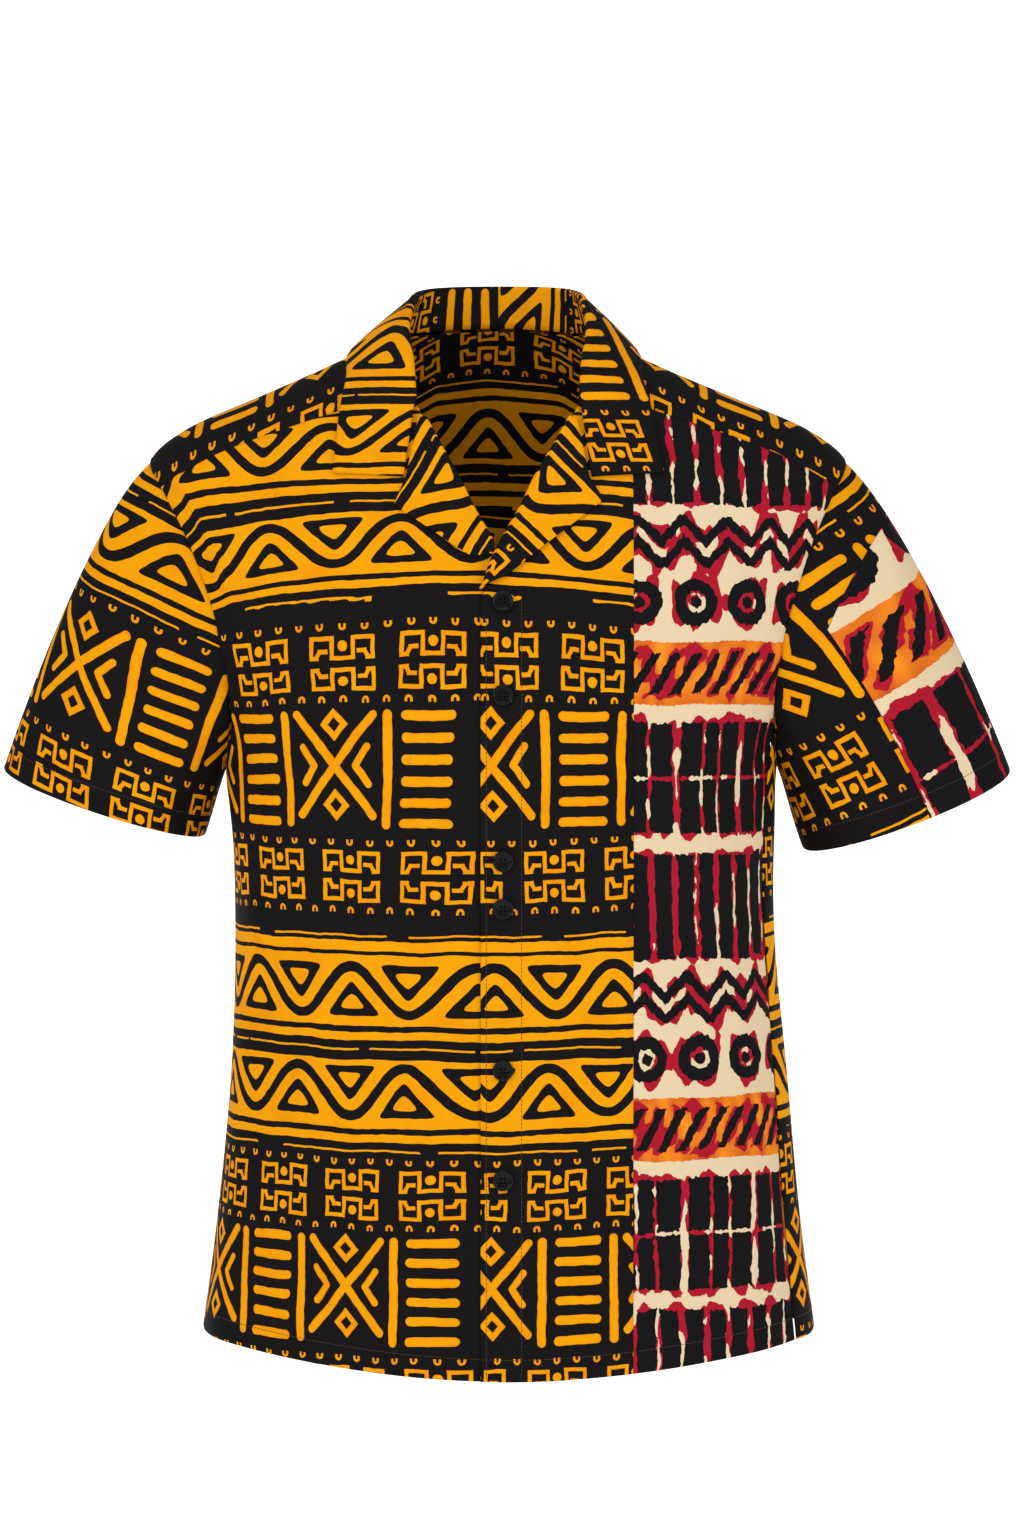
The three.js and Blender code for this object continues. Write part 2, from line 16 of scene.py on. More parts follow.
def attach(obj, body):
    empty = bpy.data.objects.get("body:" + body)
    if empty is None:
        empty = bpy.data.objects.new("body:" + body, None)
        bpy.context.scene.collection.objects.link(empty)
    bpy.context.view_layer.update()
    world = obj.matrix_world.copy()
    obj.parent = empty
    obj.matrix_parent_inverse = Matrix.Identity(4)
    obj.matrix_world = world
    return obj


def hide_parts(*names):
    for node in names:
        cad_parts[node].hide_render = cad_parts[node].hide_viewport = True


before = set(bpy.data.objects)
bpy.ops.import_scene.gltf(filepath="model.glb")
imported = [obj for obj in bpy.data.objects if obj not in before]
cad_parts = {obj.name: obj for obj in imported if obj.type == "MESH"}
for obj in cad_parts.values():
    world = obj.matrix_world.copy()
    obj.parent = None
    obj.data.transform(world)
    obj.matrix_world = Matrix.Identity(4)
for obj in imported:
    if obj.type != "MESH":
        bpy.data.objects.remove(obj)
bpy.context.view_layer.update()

quarter = math.pi / 2


def added(name, data):
    """A new object of its data, put in the scene."""
    thing = bpy.data.objects.new(name, data)
    bpy.context.collection.objects.link(thing)
    return thing


def shaded(name, **inputs):
    """A new material and its shader, with the inputs that are named set."""
    material = bpy.data.materials.new(name)
    material.use_nodes = True
    skin = material.node_tree.nodes["Principled BSDF"]
    for key, value in inputs.items():
        skin.inputs[key.replace("_", " ")].default_value = value
    return material, skin


def packed(*parts):
    return np.stack(parts, -1)


def dotted(a, b):
    return (a * b).sum(-1, keepdims=True)


def unit(vectors):
    return vectors / np.linalg.norm(vectors, axis=-1, keepdims=True)


def smooth(t):
    t = np.clip(t, 0, 1)
    return t * t * (3 - 2 * t)


def fade(at, start, end):
    """A share that goes smoothly from 0 at the start to 1 at the end."""
    return smooth((at - start) / (end - start))


def bell(at, middle, width):
    return np.exp(-(((at - middle) / width) ** 2))


def run_along(points, axis=0):
    """The running length along one axis of a line or a grid of points."""
    steps = np.linalg.norm(np.diff(points, axis=axis), axis=-1)
    return np.cumsum(np.insert(steps, 0, 0, axis=axis), axis=axis)


def quads(rows, columns, kept=None, around=False):
    """The corners of a grid's cells, four to a cell. around closes the grid into a tube."""
    r, c = np.nonzero(np.ones((rows - 1, columns - (not around)), bool) if kept is None else kept)
    nxt = (c + 1) % columns
    return packed(r * columns + c, r * columns + nxt, (r + 1) * columns + nxt, (r + 1) * columns + c)


def table(names, *rows, scale=1000):
    """A table's columns by name. Its rows are in thousandths unless the scale is 1."""
    return dict(zip(names.split(), np.array(rows).T / scale))


def cubic(t, rise, leave, reach):
    """A rise from t = 0 to 1, with its slopes where it leaves and arrives."""
    return t * leave + t**2 * (3 * rise - 2 * leave - reach) + t**3 * (leave + reach - 2 * rise)


def column(rows, key, name, at):
    """A table's column, read at a key: a cubic between rows, whose slope at each is its neighbours'."""
    way = 1 if rows[key][-1] > rows[key][0] else -1
    keys, values = rows[key][::way], rows[name][::way]
    near = np.clip(np.arange(len(keys))[:, None] + (-1, 1), 0, len(keys) - 1)
    slope = (values[near[:, 1]] - values[near[:, 0]]) / (keys[near[:, 1]] - keys[near[:, 0]])
    i = np.clip(np.searchsorted(keys, at) - 1, 0, len(keys) - 2)
    span = keys[i + 1] - keys[i]
    rise = values[i + 1] - values[i]
    return values[i] + cubic((at - keys[i]) / span, rise, slope[i] * span, slope[i + 1] * span)


# ---- Studio --------------------
# A white sweep of paper behind and below the shirt, one large soft lamp on each side of a level camera
# and one above it. The wall stands well back.
floor_height = -1.05

camera = added("camera", bpy.data.cameras.new("camera"))
camera.data.lens = 100
camera.data.sensor_width = 36
camera.location = (0.0075, -3.2, -0.306)
camera.rotation_euler = (quarter, 0, 0)
bpy.context.scene.camera = camera
bpy.context.scene.view_settings.view_transform = "Standard"


def soft_lamp(name, size, power, place, aim):
    """A square area lamp of a size and power, which stands at a place and points at another."""
    lamp = added(name, bpy.data.lights.new(name, "AREA"))
    lamp.data.size = size
    lamp.data.energy = power
    away = np.subtract(place, aim)
    lamp.location = place
    level = math.hypot(away[0], away[1])
    lamp.rotation_euler = (math.atan2(level, away[2]), 0, math.atan2(away[0], -away[1]))


soft_lamp("lamp_left", 1.8, 34, (-1.9, -2.3, 0.7), (0, 0, -0.35))
soft_lamp("lamp_right", 1.8, 24, (2.1, -2.1, 0.3), (0, 0, -0.35))
soft_lamp("lamp_above", 1.6, 18, (0, -0.9, 1.9), (0, 0, -0.3))

world = bpy.data.worlds.new("studio")
world.use_nodes = True
sky = world.node_tree.nodes["Background"]
sky.inputs["Color"].default_value = (1, 1, 1, 1)
sky.inputs["Strength"].default_value = 0.46
bpy.context.scene.world = world


def paper_sweep():
    """The floor and the wall behind it in one sheet: flat, then a quarter circle, then upright."""
    front, corner, radius, top, half = -9.0, 8.0, 1.2, 5.0, 9.0
    turn = np.linspace(0, quarter, 24)
    y = np.concatenate([[front], corner + radius * np.sin(turn), [corner + radius]])
    z = floor_height + np.concatenate([[0], radius * (1 - np.cos(turn)), [top]])
    points = [(x, y[i], z[i]) for x in (-half, half) for i in range(len(y))]
    n = len(y)
    mesh = bpy.data.meshes.new("paper_sweep")
    mesh.from_pydata(points, [], [(i, n + i, n + i + 1, i + 1) for i in range(n - 1)])
    mesh.shade_smooth()
    colour, glow = (0.93, 0.93, 0.93, 1), (1, 1, 1, 1)
    mesh.materials.append(shaded(
        "paper", Base_Color=colour, Roughness=0.9, Emission_Color=glow, Emission_Strength=0.66,
    )[0])
    sweep = added("paper_sweep", mesh)


paper_sweep()


# ---- Wax print --------------------
# Plain-weave cotton, resist-printed in gold on charcoal through the whole cloth, so both faces show it.
# The repeat runs down the cloth: two gold bands of waves and outlined triangles, then a dark band with
# two rows of frets, crosses with ladders between them, and frets again. The motifs are charted in
# millimetres of cloth.
def shader_node(tree, kind, inputs=(), **settings):
    """A new node with its settings. Each input is linked to an ink or a socket, or set to a value."""
    node = tree.nodes.new("ShaderNode" + kind)
    for key, value in settings.items():
        setattr(node, key, value)
    for key, value in dict(inputs).items():
        value = value.socket if isinstance(value, Ink) else value
        if isinstance(value, bpy.types.NodeSocket):
            tree.links.new(value, node.inputs[key])
        else:
            node.inputs[key].default_value = value
    return node


class Ink:
    """A number that varies over the cloth, as the output of a shader node. Arithmetic adds Math nodes."""

    def __init__(self, socket):
        self.socket = socket

    def math(self, operation, *others):
        inputs = enumerate((self, *others))
        return Ink(shader_node(self.socket.id_data, "Math", inputs, operation=operation).outputs[0])

    __add__ = partialmethod(math, "ADD")
    __sub__ = partialmethod(math, "SUBTRACT")
    __mul__ = partialmethod(math, "MULTIPLY")
    __truediv__ = partialmethod(math, "DIVIDE")
    __abs__ = partialmethod(math, "ABSOLUTE")
    over = partialmethod(math, "GREATER_THAN")
    under = partialmethod(math, "LESS_THAN")
    # The distance to the nearest multiple of twice the half: a repeat and its mirror image.
    fold = partialmethod(math, "PINGPONG")

    def __rsub__(self, other):
        return self * -1.0 + other

    def least(self, *others):
        return self.math("MINIMUM", others[0]).least(*others[1:]) if others else self

    def most(self, *others):
        return self.math("MAXIMUM", others[0]).most(*others[1:]) if others else self


def hypot(x, y):
    return (x * x + y * y).math("SQRT")


def block(x, y, across, down, half_wide, half_high):
    """The distance outside a rectangle whose middle is at (across, down)."""
    return (abs(x - across) - half_wide).most(abs(y - down) - half_high)


def stroke(x, y, way, length, half_wide):
    """The distance outside a round-ended stroke, which starts at zero and runs a length along a way."""
    run = (x * way[0] + y * way[1]).most(0.0).least(length)
    return hypot(x - run * way[0], y - run * way[1]) - half_wide


def ramp(value, length, stops):
    """Sharp steps along a length: each stop is the place and the grey that starts there."""
    node = shader_node(value.socket.id_data, "ValToRGB", {0: value / length})
    node.color_ramp.interpolation = "CONSTANT"
    while len(node.color_ramp.elements) < len(stops):
        node.color_ramp.elements.new(0.5)
    for element, (place, grey) in zip(node.color_ramp.elements, stops):
        element.position = place / length
        element.color = (grey, grey, grey, 1)
    return Ink(node.outputs[0])


def noise(vector, scale, detail=0.0):
    """The grey of a noise node on a vector."""
    inputs = {"Vector": vector, "Scale": scale, "Detail": detail}
    return Ink(shader_node(vector.id_data, "TexNoise", inputs).outputs[0])


def vector_math(operation, vector, other):
    return shader_node(vector.id_data, "VectorMath", {0: vector, 1: other}, operation=operation).outputs[0]


def scaled(vector, across, down):
    return vector_math("MULTIPLY", vector, (across, down, 0))


def across_and_down(vector):
    return [Ink(socket) for socket in shader_node(vector.id_data, "SeparateXYZ", {0: vector}).outputs[:2]]


def blend_colours(share, first, second):
    """Mixes two colours: a share of 0 is the first and 1 is the second."""
    first, second = ((*colour, 1) if isinstance(colour, tuple) else colour for colour in (first, second))
    inputs = {0: share, 6: first, 7: second}
    return shader_node(share.socket.id_data, "Mix", inputs, data_type="RGBA").outputs[2]


def cotton(name, colour_at, wobble, fray, **lie):
    """A dull plain-weave cotton, coloured by a function of the cloth's own place in millimetres. The place
    is made uneven as a hand-cut block prints, by a slow wobble and a fine fray. The weave's bump is two
    crossed ripples, one thread apart, and a slight unevenness."""
    material, skin = shaded(name, Roughness=0.78, Specular_IOR_Level=0.05)
    tree = material.node_tree
    even = scaled(shader_node(tree, "UVMap", uv_map="cloth").outputs[0], 1000, 1000)
    place = even
    for scale, reach in ((0.03, wobble), (0.16, fray)):
        random = noise(place, scale).socket.node.outputs["Color"]
        shift = vector_math("SUBTRACT", random, (0.5, 0.5, 0.5))
        place = vector_math("ADD", place, scaled(shift, reach, reach))
    tree.links.new(colour_at(place, *across_and_down(place), **lie), skin.inputs["Base Color"])

    x, y = across_and_down(even)
    turn = math.pi / 1.1
    height = (x * turn).math("SINE") * (y * turn).math("SINE") * 0.5 + noise(even, 0.9, 2.0)
    bump = shader_node(tree, "Bump", {"Strength": 0.25, "Distance": 0.0002, "Height": height})
    tree.links.new(bump.outputs[0], skin.inputs["Normal"])
    return material


# The repeat in millimetres of cloth, from the top of the first gold band down.
repeat = 365.7
gold_stripes = (
    (0, 1), (6.3, 0), (9.6, 1), (59.8, 0), (63.3, 1), (68.6, 0), (83, 1), (132, 0), (136.2, 1), (142, 0),
)
thin_lines = ((0, 0), (74.6, 1), (76.0, 0), (148.5, 1), (149.7, 0), (360.8, 1), (362, 0))
wave = {"first": 35.0, "second": 106.9, "length": 90.0, "rise": 16.8, "half_line": 3.5}
fret = {"first": 180.3, "second": 321.2, "length": 60.5, "row": 10.0, "half_line": 1.4}
# Each line of half a fret: its middle, and how far it reaches across and down.
fret_lines = (
    ((20.8, 0), 0, 6.2), ((13.9, 6.2), 6.9, 0), ((7.0, 0), 0, 6.2), ((0, -6.2), 7.0, 0),
    ((19.0, -6.2), 1.8, 0), ((13.2, -1.9), 2.0, 0),
)
cross = {"middle": 249.2, "length": 131.0, "half_line": 3.0}
# The rows of motifs start here in the repeat: waves, waves, frets, crosses, frets. A print that leaves a
# length out leaves it out just above the crosses.
row_starts = (-12.7, 71.0, 152.0, 207.0, 292.0)
above_crosses = 206.0


def wave_ink(u, y):
    """The dark of one gold band: a wavy line with an outlined triangle under each crest and, turned over,
    above each trough. y runs down from the band's middle."""
    length, rise = wave["length"], wave["rise"]
    turn = u * (2 * math.pi / length)
    high = turn.math("COSINE")
    slope = turn.math("SINE") * (rise * 2 * math.pi / length)
    line = abs(y + high * rise) / (slope * slope + 1.0).math("SQRT") - wave["half_line"]
    x = hypot(u.fold(length / 4), 3.2)
    down = y * high.math("SIGN")
    side = x * 0.78 - (down + 10.0) * 0.626
    outline = abs(side.math("SMOOTH_MAX", down - 18.3, 7.0) + 2.6) - 2.6
    return line.least(outline)


def fret_ink(u, y):
    """Two rows of frets, each the other's mirror image, between two rows of small open marks. y runs
    down from between the rows."""
    half = fret["half_line"]
    x = u.fold(fret["length"] / 2)
    beyond = abs(y)
    out = beyond - fret["row"]
    strokes = [block(x, out, *at, wide + half, high + half) for at, wide, high in fret_lines]
    strokes += [stroke(17.6 - x, out + 6.2, (0.5, 0.866), 4.4, half), hypot(x, out - 1.4) - 3.3]
    mark_x = u.fold(fret["length"] / 8)
    mark_y = beyond - 23.6
    mark = (abs(hypot(mark_x, mark_y.least(0.0)) - 1.75) - 0.85).most(mark_y - 1.7)
    return strokes[0].least(*strokes[1:], mark)


def cross_ink(u, y):
    """Crosses with two diamonds and two chevrons each, and ladders of six rungs between upright bars. y
    runs down from the middle."""
    half_length = cross["length"] / 2
    x = u.fold(half_length)
    high = abs(y + 3.0)
    arm = stroke(x, high, (0.648, 0.762), 43.0, cross["half_line"])
    chevron = stroke(x - 15.5, high, (0.584, 0.811), 14.5, 2.5)
    diamond = abs((x + abs(high - 26.5) * 0.96) * 0.72 - 5.3) - 2.1
    bar = hypot(x - 38.0, (abs(y) - 35.6).most(0.0)) - 3.2
    rung_y = (y.fold(7.0) - 7.0)
    rung_x = (abs(x - half_length) - 14.8).most(0.0)
    rung = (hypot(rung_x, rung_y) - 3.2).most(abs(y) - 41.0)
    return arm.least(chevron, diamond, bar, rung)


def moved_rows(u, v, moves):
    """Moves each row of motifs along the cloth by a length of its own. There is a move for each row of two
    repeats, and the lower repeat starts at v = 0."""
    starts = [start + turn * repeat for turn in (-1, 0) for start in row_starts]
    u = u - moves[0]
    for start, last, move in zip(starts[1:], moves, moves[1:]):
        u = u - v.over(start) * (move - last)
    return u


def wax_colour(place, u, v, left_out=0.0, moves=()):
    """The gold and charcoal print: a coordinate down the repeat picks the stripes, and each motif is the
    distance to its outline, so its edge is sharp at any scale."""
    gold, amber, charcoal = (0.70, 0.276, 0.0003), (0.62, 0.175, 0.0002), (0.0060, 0.0053, 0.0052)
    if moves:
        u = moved_rows(u, v, moves)
    down = v.math("FLOORED_MODULO", repeat - left_out)
    if left_out:
        down = down + down.over(above_crosses - left_out) * left_out
    stripes = ramp(down, repeat, gold_stripes)
    thin = ramp(down, repeat, thin_lines) * noise(scaled(place, 0.035, 0.012), 1.0).under(0.62)
    second = down.over(row_starts[1])
    middle = down - wave["first"]
    waves = wave_ink(u, middle * (second * -2.0 + 1.0) + second * (wave["second"] - wave["first"]))
    fret_down = down - fret["first"] - down.over(cross["middle"]) * (fret["second"] - fret["first"])
    motifs = fret_ink(u, fret_down).least(cross_ink(u, down - cross["middle"]))
    shown = (stripes * waves.over(0.0)).most(thin, motifs.under(0.0))

    warm = (noise(place, 0.028, 3.0) - 0.5) * 2.0 + noise(place, 0.085, 1.0).over(0.735) * 0.5
    edge = (motifs + 1.1).over(0.0) * motifs.under(0.0) * 0.35
    yellow = blend_colours((warm + edge).most(0.0).least(1.0), gold, amber)
    return blend_colours(shown, charcoal, yellow)


def wax_print(name, **lie):
    return cotton(name, wax_colour, wobble=3.0, fray=0.9, **lie)


wax = wax_print("wax_print")
sleeve_wax = wax_print("sleeve_print", left_out=44.0)
right_wax = wax_print("right_front_print", moves=(-3, -1.5, 3.5, -3.5, 6.5, 4, 0, 2.5, -2, 7))
left_wax = wax_print("left_front_print", moves=(0, -21, 13, 1.5, -16, -3, -10, -19, -8, -19))


# ---- Cloth form --------------------
# The cloth lies on one smooth surface, read by an angle round the body (0 at the centre front, a quarter
# turn at the left side) and a height. Sections run from the neck down: a height, a shift to the left, and
# how far the surface reaches to the sides, forwards and back.
form = table(
    "z shift half front back square",
    (30, -5, 48, 46, 67, 0),
    (19, -5, 74, 54, 77, 0),
    (8, -6, 96, 60, 84, 0),
    (-10, -6, 135, 66, 93, 0),
    (-28, -5, 177, 74, 100, 10),
    (-52, -4, 232, 87, 108, 20),
    (-76, -3, 261, 98, 114, 30),
    (-105, -2, 261, 109, 119, 40),
    (-140, -1, 254, 120, 124, 50),
    (-175, 0, 246, 129, 126, 50),
    (-210, 0, 234, 135, 127, 50),
    (-250, 0, 219, 139, 126, 50),
    (-303, 0, 206, 141, 121, 50),
    (-400, 1, 201, 139, 114, 50),
    (-520, 5, 207, 136, 114, 50),
    (-640, 5, 218, 135, 120, 50),
    (-760, 5, 234, 137, 129, 50),
)


def section(name, z):
    return column(form, "z", name, z)


def body_point(angle, z):
    """An oval section at each height, a little squared at its four shoulders."""
    angle, z = np.broadcast_arrays(angle, z)
    full = 1 + section("square", z) * np.sin(2 * angle) ** 2
    deep = np.where(np.cos(angle) > 0, section("front", z), section("back", z))
    x = section("shift", z) + section("half", z) * full * np.sin(angle)
    return packed(x, -deep * full * np.cos(angle), z)


def body_normal(angle, z):
    """Square to the surface: the way round crossed with the way up."""
    around = body_point(angle + 0.01, z) - body_point(angle - 0.01, z)
    up = body_point(angle, z + 0.0005) - body_point(angle, z - 0.0005)
    return unit(np.cross(around, up))


def raised(angle, z, lift):
    return body_point(angle, z) + body_normal(angle, z) * np.asarray(lift)[..., None]


def angle_at(x, z):
    """The angle in front at which the body has an x at a height, by halving the range."""
    x, z = np.broadcast_arrays(x, z)
    low, high = np.full(x.shape, -quarter), np.full(x.shape, quarter)
    for _ in range(30):
        middle = (low + high) / 2
        short = body_point(middle, z)[..., 0] < x
        low, high = np.where(short, middle, low), np.where(short, high, middle)
    return (low + high) / 2


def girth(angle, z, chords=40):
    """The length of cloth round the body from the centre front to an angle: the sum of short chords."""
    t = np.linspace(0, 1, chords + 1)
    points = body_point(angle[..., None] * t, z[..., None] + 0 * t)
    return np.sign(angle) * np.linalg.norm(np.diff(points, axis=-2), axis=-1).sum(axis=-1)


# Where the print's repeat falls on the worn body, in thousandths of a metre of cloth.
print_drop = table("z down", (20, -430), (-110, -290), (-350, -78), (-760, 325))

# The hem's height at the side seams and how far it dips in front and behind.
hem = {"side": -0.724, "front_dip": 0.023, "back_dip": 0.018}


def hem_height(angle):
    toward = np.cos(angle)
    return hem["side"] - np.where(toward > 0, hem["front_dip"], hem["back_dip"]) * np.abs(toward) ** 3


# The armhole is an oval on the body's side. A turn of 0 is the shoulder point, and it runs forwards.
armhole = {"middle": -0.1895, "high": 0.1135, "front": math.radians(32), "back": math.radians(30)}
armhole_steps = 30


def armhole_at(side, step):
    turn = np.asarray(step) / armhole_steps * 2 * math.pi
    reach = np.where(np.sin(turn) > 0, armhole["front"], armhole["back"])
    z = armhole["middle"] + armhole["high"] * np.cos(turn)
    return packed(side * (quarter - reach * np.sin(turn)), z)


# The front opening, as distances from the neck's centre line on the front's own side.
neck_shift = -0.003
roll_line = table("out z", (-12, -186), (0, -151), (19, -117), (29, -96), (44, -69), (58, -42))
seam_rows = (
    (0.068, -0.033), (0.090, -0.036), (0.115, -0.043), (0.155, -0.056), (0.190, -0.068), (0.214, -0.078),
)
yoke_step, strip_step = 3, 12


def on_front(side, out, z):
    return packed(angle_at(side * out + neck_shift, z), z)


def front_seam(side, t):
    """The front shoulder seam from the neck to the armhole, as an angle and a height."""
    end = armhole_at(side, yoke_step)
    end_out = side * (body_point(*end)[0] - neck_shift)
    seam = table("out z", *seam_rows, (end_out, end[1]), scale=1)
    out = seam["out"][0] + (end_out - seam["out"][0]) * np.asarray(t)
    return on_front(side, out, column(seam, "out", "z", out))


def read_rows(at, knots, rows):
    return packed(*(np.interp(at, knots, values) for values in np.transpose(rows)))


def trace(points, knots=None):
    """An edge as a function of t: straight between its points, at knots or evenly from 0 to 1."""
    knots = np.linspace(0, 1, len(points)) if knots is None else knots
    return lambda t: read_rows(t, knots, points)


def led_by(point, curve, knot):
    """An edge that runs straight from a point to a curve, which starts at a knot."""
    return trace(np.vstack([point, curve]), [0, *np.linspace(knot, 1, len(curve))])


def patch(inner, outer, bottom, top, s, t):
    """A patch between four edges: the blends of the two pairs of facing edges, less the corners' blend. It
    gives each of its two coordinates as a grid."""
    a, b = s[None, :, None], t[:, None, None]
    across = inner(t)[:, None] * (1 - a) + outer(t)[:, None] * a
    along = bottom(s)[None] * (1 - b) + top(s)[None] * b
    low, high = (inner(end) * (1 - a) + outer(end) * a for end in (0.0, 1.0))
    return np.moveaxis(across + along - (low * (1 - b) + high * b), -1, 0)


def in_legs(start, *legs):
    """Values from a start in equal steps along each leg, an end and a count of steps for each."""
    values = [[start]]
    for end, count in legs:
        values.append(np.linspace(values[-1][-1], end, count + 1)[1:])
    return np.concatenate(values)


def graded(*legs):
    """Legs from 0 to 1, with a few close steps at both ends, where the cloth's edges turn."""
    even = in_legs(0, *legs)
    close = np.array([0.12, 0.3, 0.6])
    return np.concatenate([[0], even[1] * close, even[1:-1], 1 - (1 - even[-2]) * close[::-1], [1]])


def edge_distance(points):
    """How far each point of a grid lies from the grid's nearest edge, measured along the cloth."""
    up, across = run_along(points), run_along(points, 1)
    return np.minimum.reduce([up, up[-1:] - up, across, across[:, -1:] - across])


def dip(away, depth, reach):
    """How far the cloth sinks beside a seam or a folded edge: most at the edge, none past the reach."""
    return depth * np.clip(1 - away / reach, 0, 1) ** 2


def folds(u, z, rows):
    """Soft creases: each row is a line from (u, z) to (u, z), a width and a height, in millimetres, and a
    trough's height is negative. Its section is a bell, and it fades out towards both ends."""
    total = np.zeros(np.broadcast(u, z).shape)
    for u0, z0, u1, z1, width, height in np.array(rows).reshape(-1, 6) / 1000:
        length = math.hypot(u1 - u0, z1 - z0)
        way = ((u1 - u0) / length, (z1 - z0) / length)
        along = ((u - u0) * way[0] + (z - z0) * way[1]) / length
        off = (u - u0) * way[1] - (z - z0) * way[0]
        inside = smooth(along * 3 + 0.5) * smooth((1 - along) * 3 + 0.5)
        total += height * bell(off, 0, width) * inside
    return total


def cloth_mesh(name, points, uv, material, node, outward, kept=None, thickness=0.0009):
    """A piece of cloth from a grid of points, with a wall on the inside and its print's coordinates in
    metres as a UV map. outward gives the way that the grid's faces should look at each point."""
    corner = quads(*points.shape[:2], kept)
    flat = points.reshape(-1, 3)
    normal = np.cross(flat[corner[:, 2]] - flat[corner[:, 0]], flat[corner[:, 3]] - flat[corner[:, 1]])
    if (normal * outward.reshape(-1, 3)[corner[:, 0]]).sum() < 0:
        corner = corner[:, ::-1]
    used, faces = np.unique(corner, return_inverse=True)
    mesh = bpy.data.meshes.new(name)
    mesh.from_pydata(flat[used], [], faces.reshape(-1, 4))
    places = uv.reshape(-1, 2)[corner].astype(np.float32)
    mesh.uv_layers.new(name="cloth").data.foreach_set("uv", places.ravel())
    mesh.shade_smooth()
    mesh.materials.append(material)
    piece = added(name, mesh)
    wall = piece.modifiers.new("wall", "SOLIDIFY")
    wall.thickness = thickness
    wall.offset = -1
    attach(piece, "root")
    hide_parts(node)
    return piece


# ---- Right front --------------------
# One panel of the print from the hem to the shoulder seam. Its straight edge lies under the left front,
# and above the last button it turns out along the roll line.
underarm_knot, foot_knot = 0.66, 0.80
front_rows = graded((underarm_knot, 96), (foot_knot, 22), (1, 38))
lap = {"left_edge": -0.015, "right_edge": 0.020, "lift": 0.0028, "settles": (0.024, 0.060)}
roll_foot = roll_line["z"][0] - 0.008


def opening_edge(side, edge):
    """A front's inner edge from the hem: straight up to the foot of the roll line, then along it."""
    arm_z = armhole_at(side, armhole_steps / 2)[1]
    straight = in_legs(hem_height(0.0), (arm_z, 49), (roll_foot, 19))
    height = np.linspace(roll_line["z"][0], roll_line["z"][-1], 30)
    upper = on_front(side, column(roll_line, "z", "out", height), height)
    points = np.vstack([packed(angle_at(edge, straight), straight), upper])
    return trace(points, in_legs(0, (underarm_knot, 49), (foot_knot, 19), (1, 30)))


def hem_edge(start, end):
    angle = np.linspace(start, end, 60)
    return trace(packed(angle, hem_height(angle)))


def side_and_armhole(side, top=yoke_step):
    """A panel's outer edge: up the side seam to the underarm, then round the armhole to the top seam."""
    curve = armhole_at(side, np.linspace(armhole_steps / 2, top, 60))
    return led_by((side * quarter, hem["side"]), curve, underarm_knot)


sway_middle, sway_reach = -0.04, 0.16
chest_band = {"down": (-0.283, -0.232, -0.2245, -0.214), "share": (0, 1, 1, 0), "wider": 0.010}


def print_place(angle, z, reads, at, chest, hem):
    """The print's coordinates. Down, rows sag to the sides at the chest and rise there at the hem, and the
    dark band below the chest's waves is wider. Across is a reading at one distance round from the centre
    front, and the cloth's stretch either side of it, which goes from the chest's to the hem's."""
    sway = -0.013 + 0.018 * fade(z, -0.13, -0.38) + 0.008 * fade(z, -0.16, -0.08)
    sway = sway * ((body_point(angle, z)[..., 0] - sway_middle) / sway_reach) ** 2
    down = column(print_drop, "z", "down", z) + sway
    down = down + chest_band["wider"] * np.interp(down, chest_band["down"], chest_band["share"])
    stretch = chest + (hem - chest) * fade(z, -0.20, -0.50)
    return packed(reads + (girth(angle, z) - at) / stretch, down)


def body_panel(name, node, angle, z, place, lift=0.0, creases=(), material=wax):
    """A panel on the body's surface, from grids of angles and heights. The lift and the creases raise it,
    and it sinks a little at its seams."""
    sunk = dip(edge_distance(body_point(angle, z)), depth=0.0009, reach=0.0035)
    points = raised(angle, z, lift + folds(girth(angle, z), z, creases) - sunk)
    return cloth_mesh(name, points, place, material, node, points * (1, 1, 0))


# On the right front the print is wider beside the lap, and past its last ladder there the crosses' row is
# plain dark. It is drawn up beside the armhole, where a fold of cloth stands: a ridge, then a trough.
lap_print = {"from": -0.065, "wider": 0.22, "fade": (-0.33, -0.37), "last": 0.0835, "ladder_half": 41}
fold_print = {"fade": (-0.215, -0.165), "reach": 0.021, "draw": 0.35}
fold_ridge, fold_trough = {"middle": 0.022, "width": 0.004}, {"middle": 0.012, "width": 0.005}


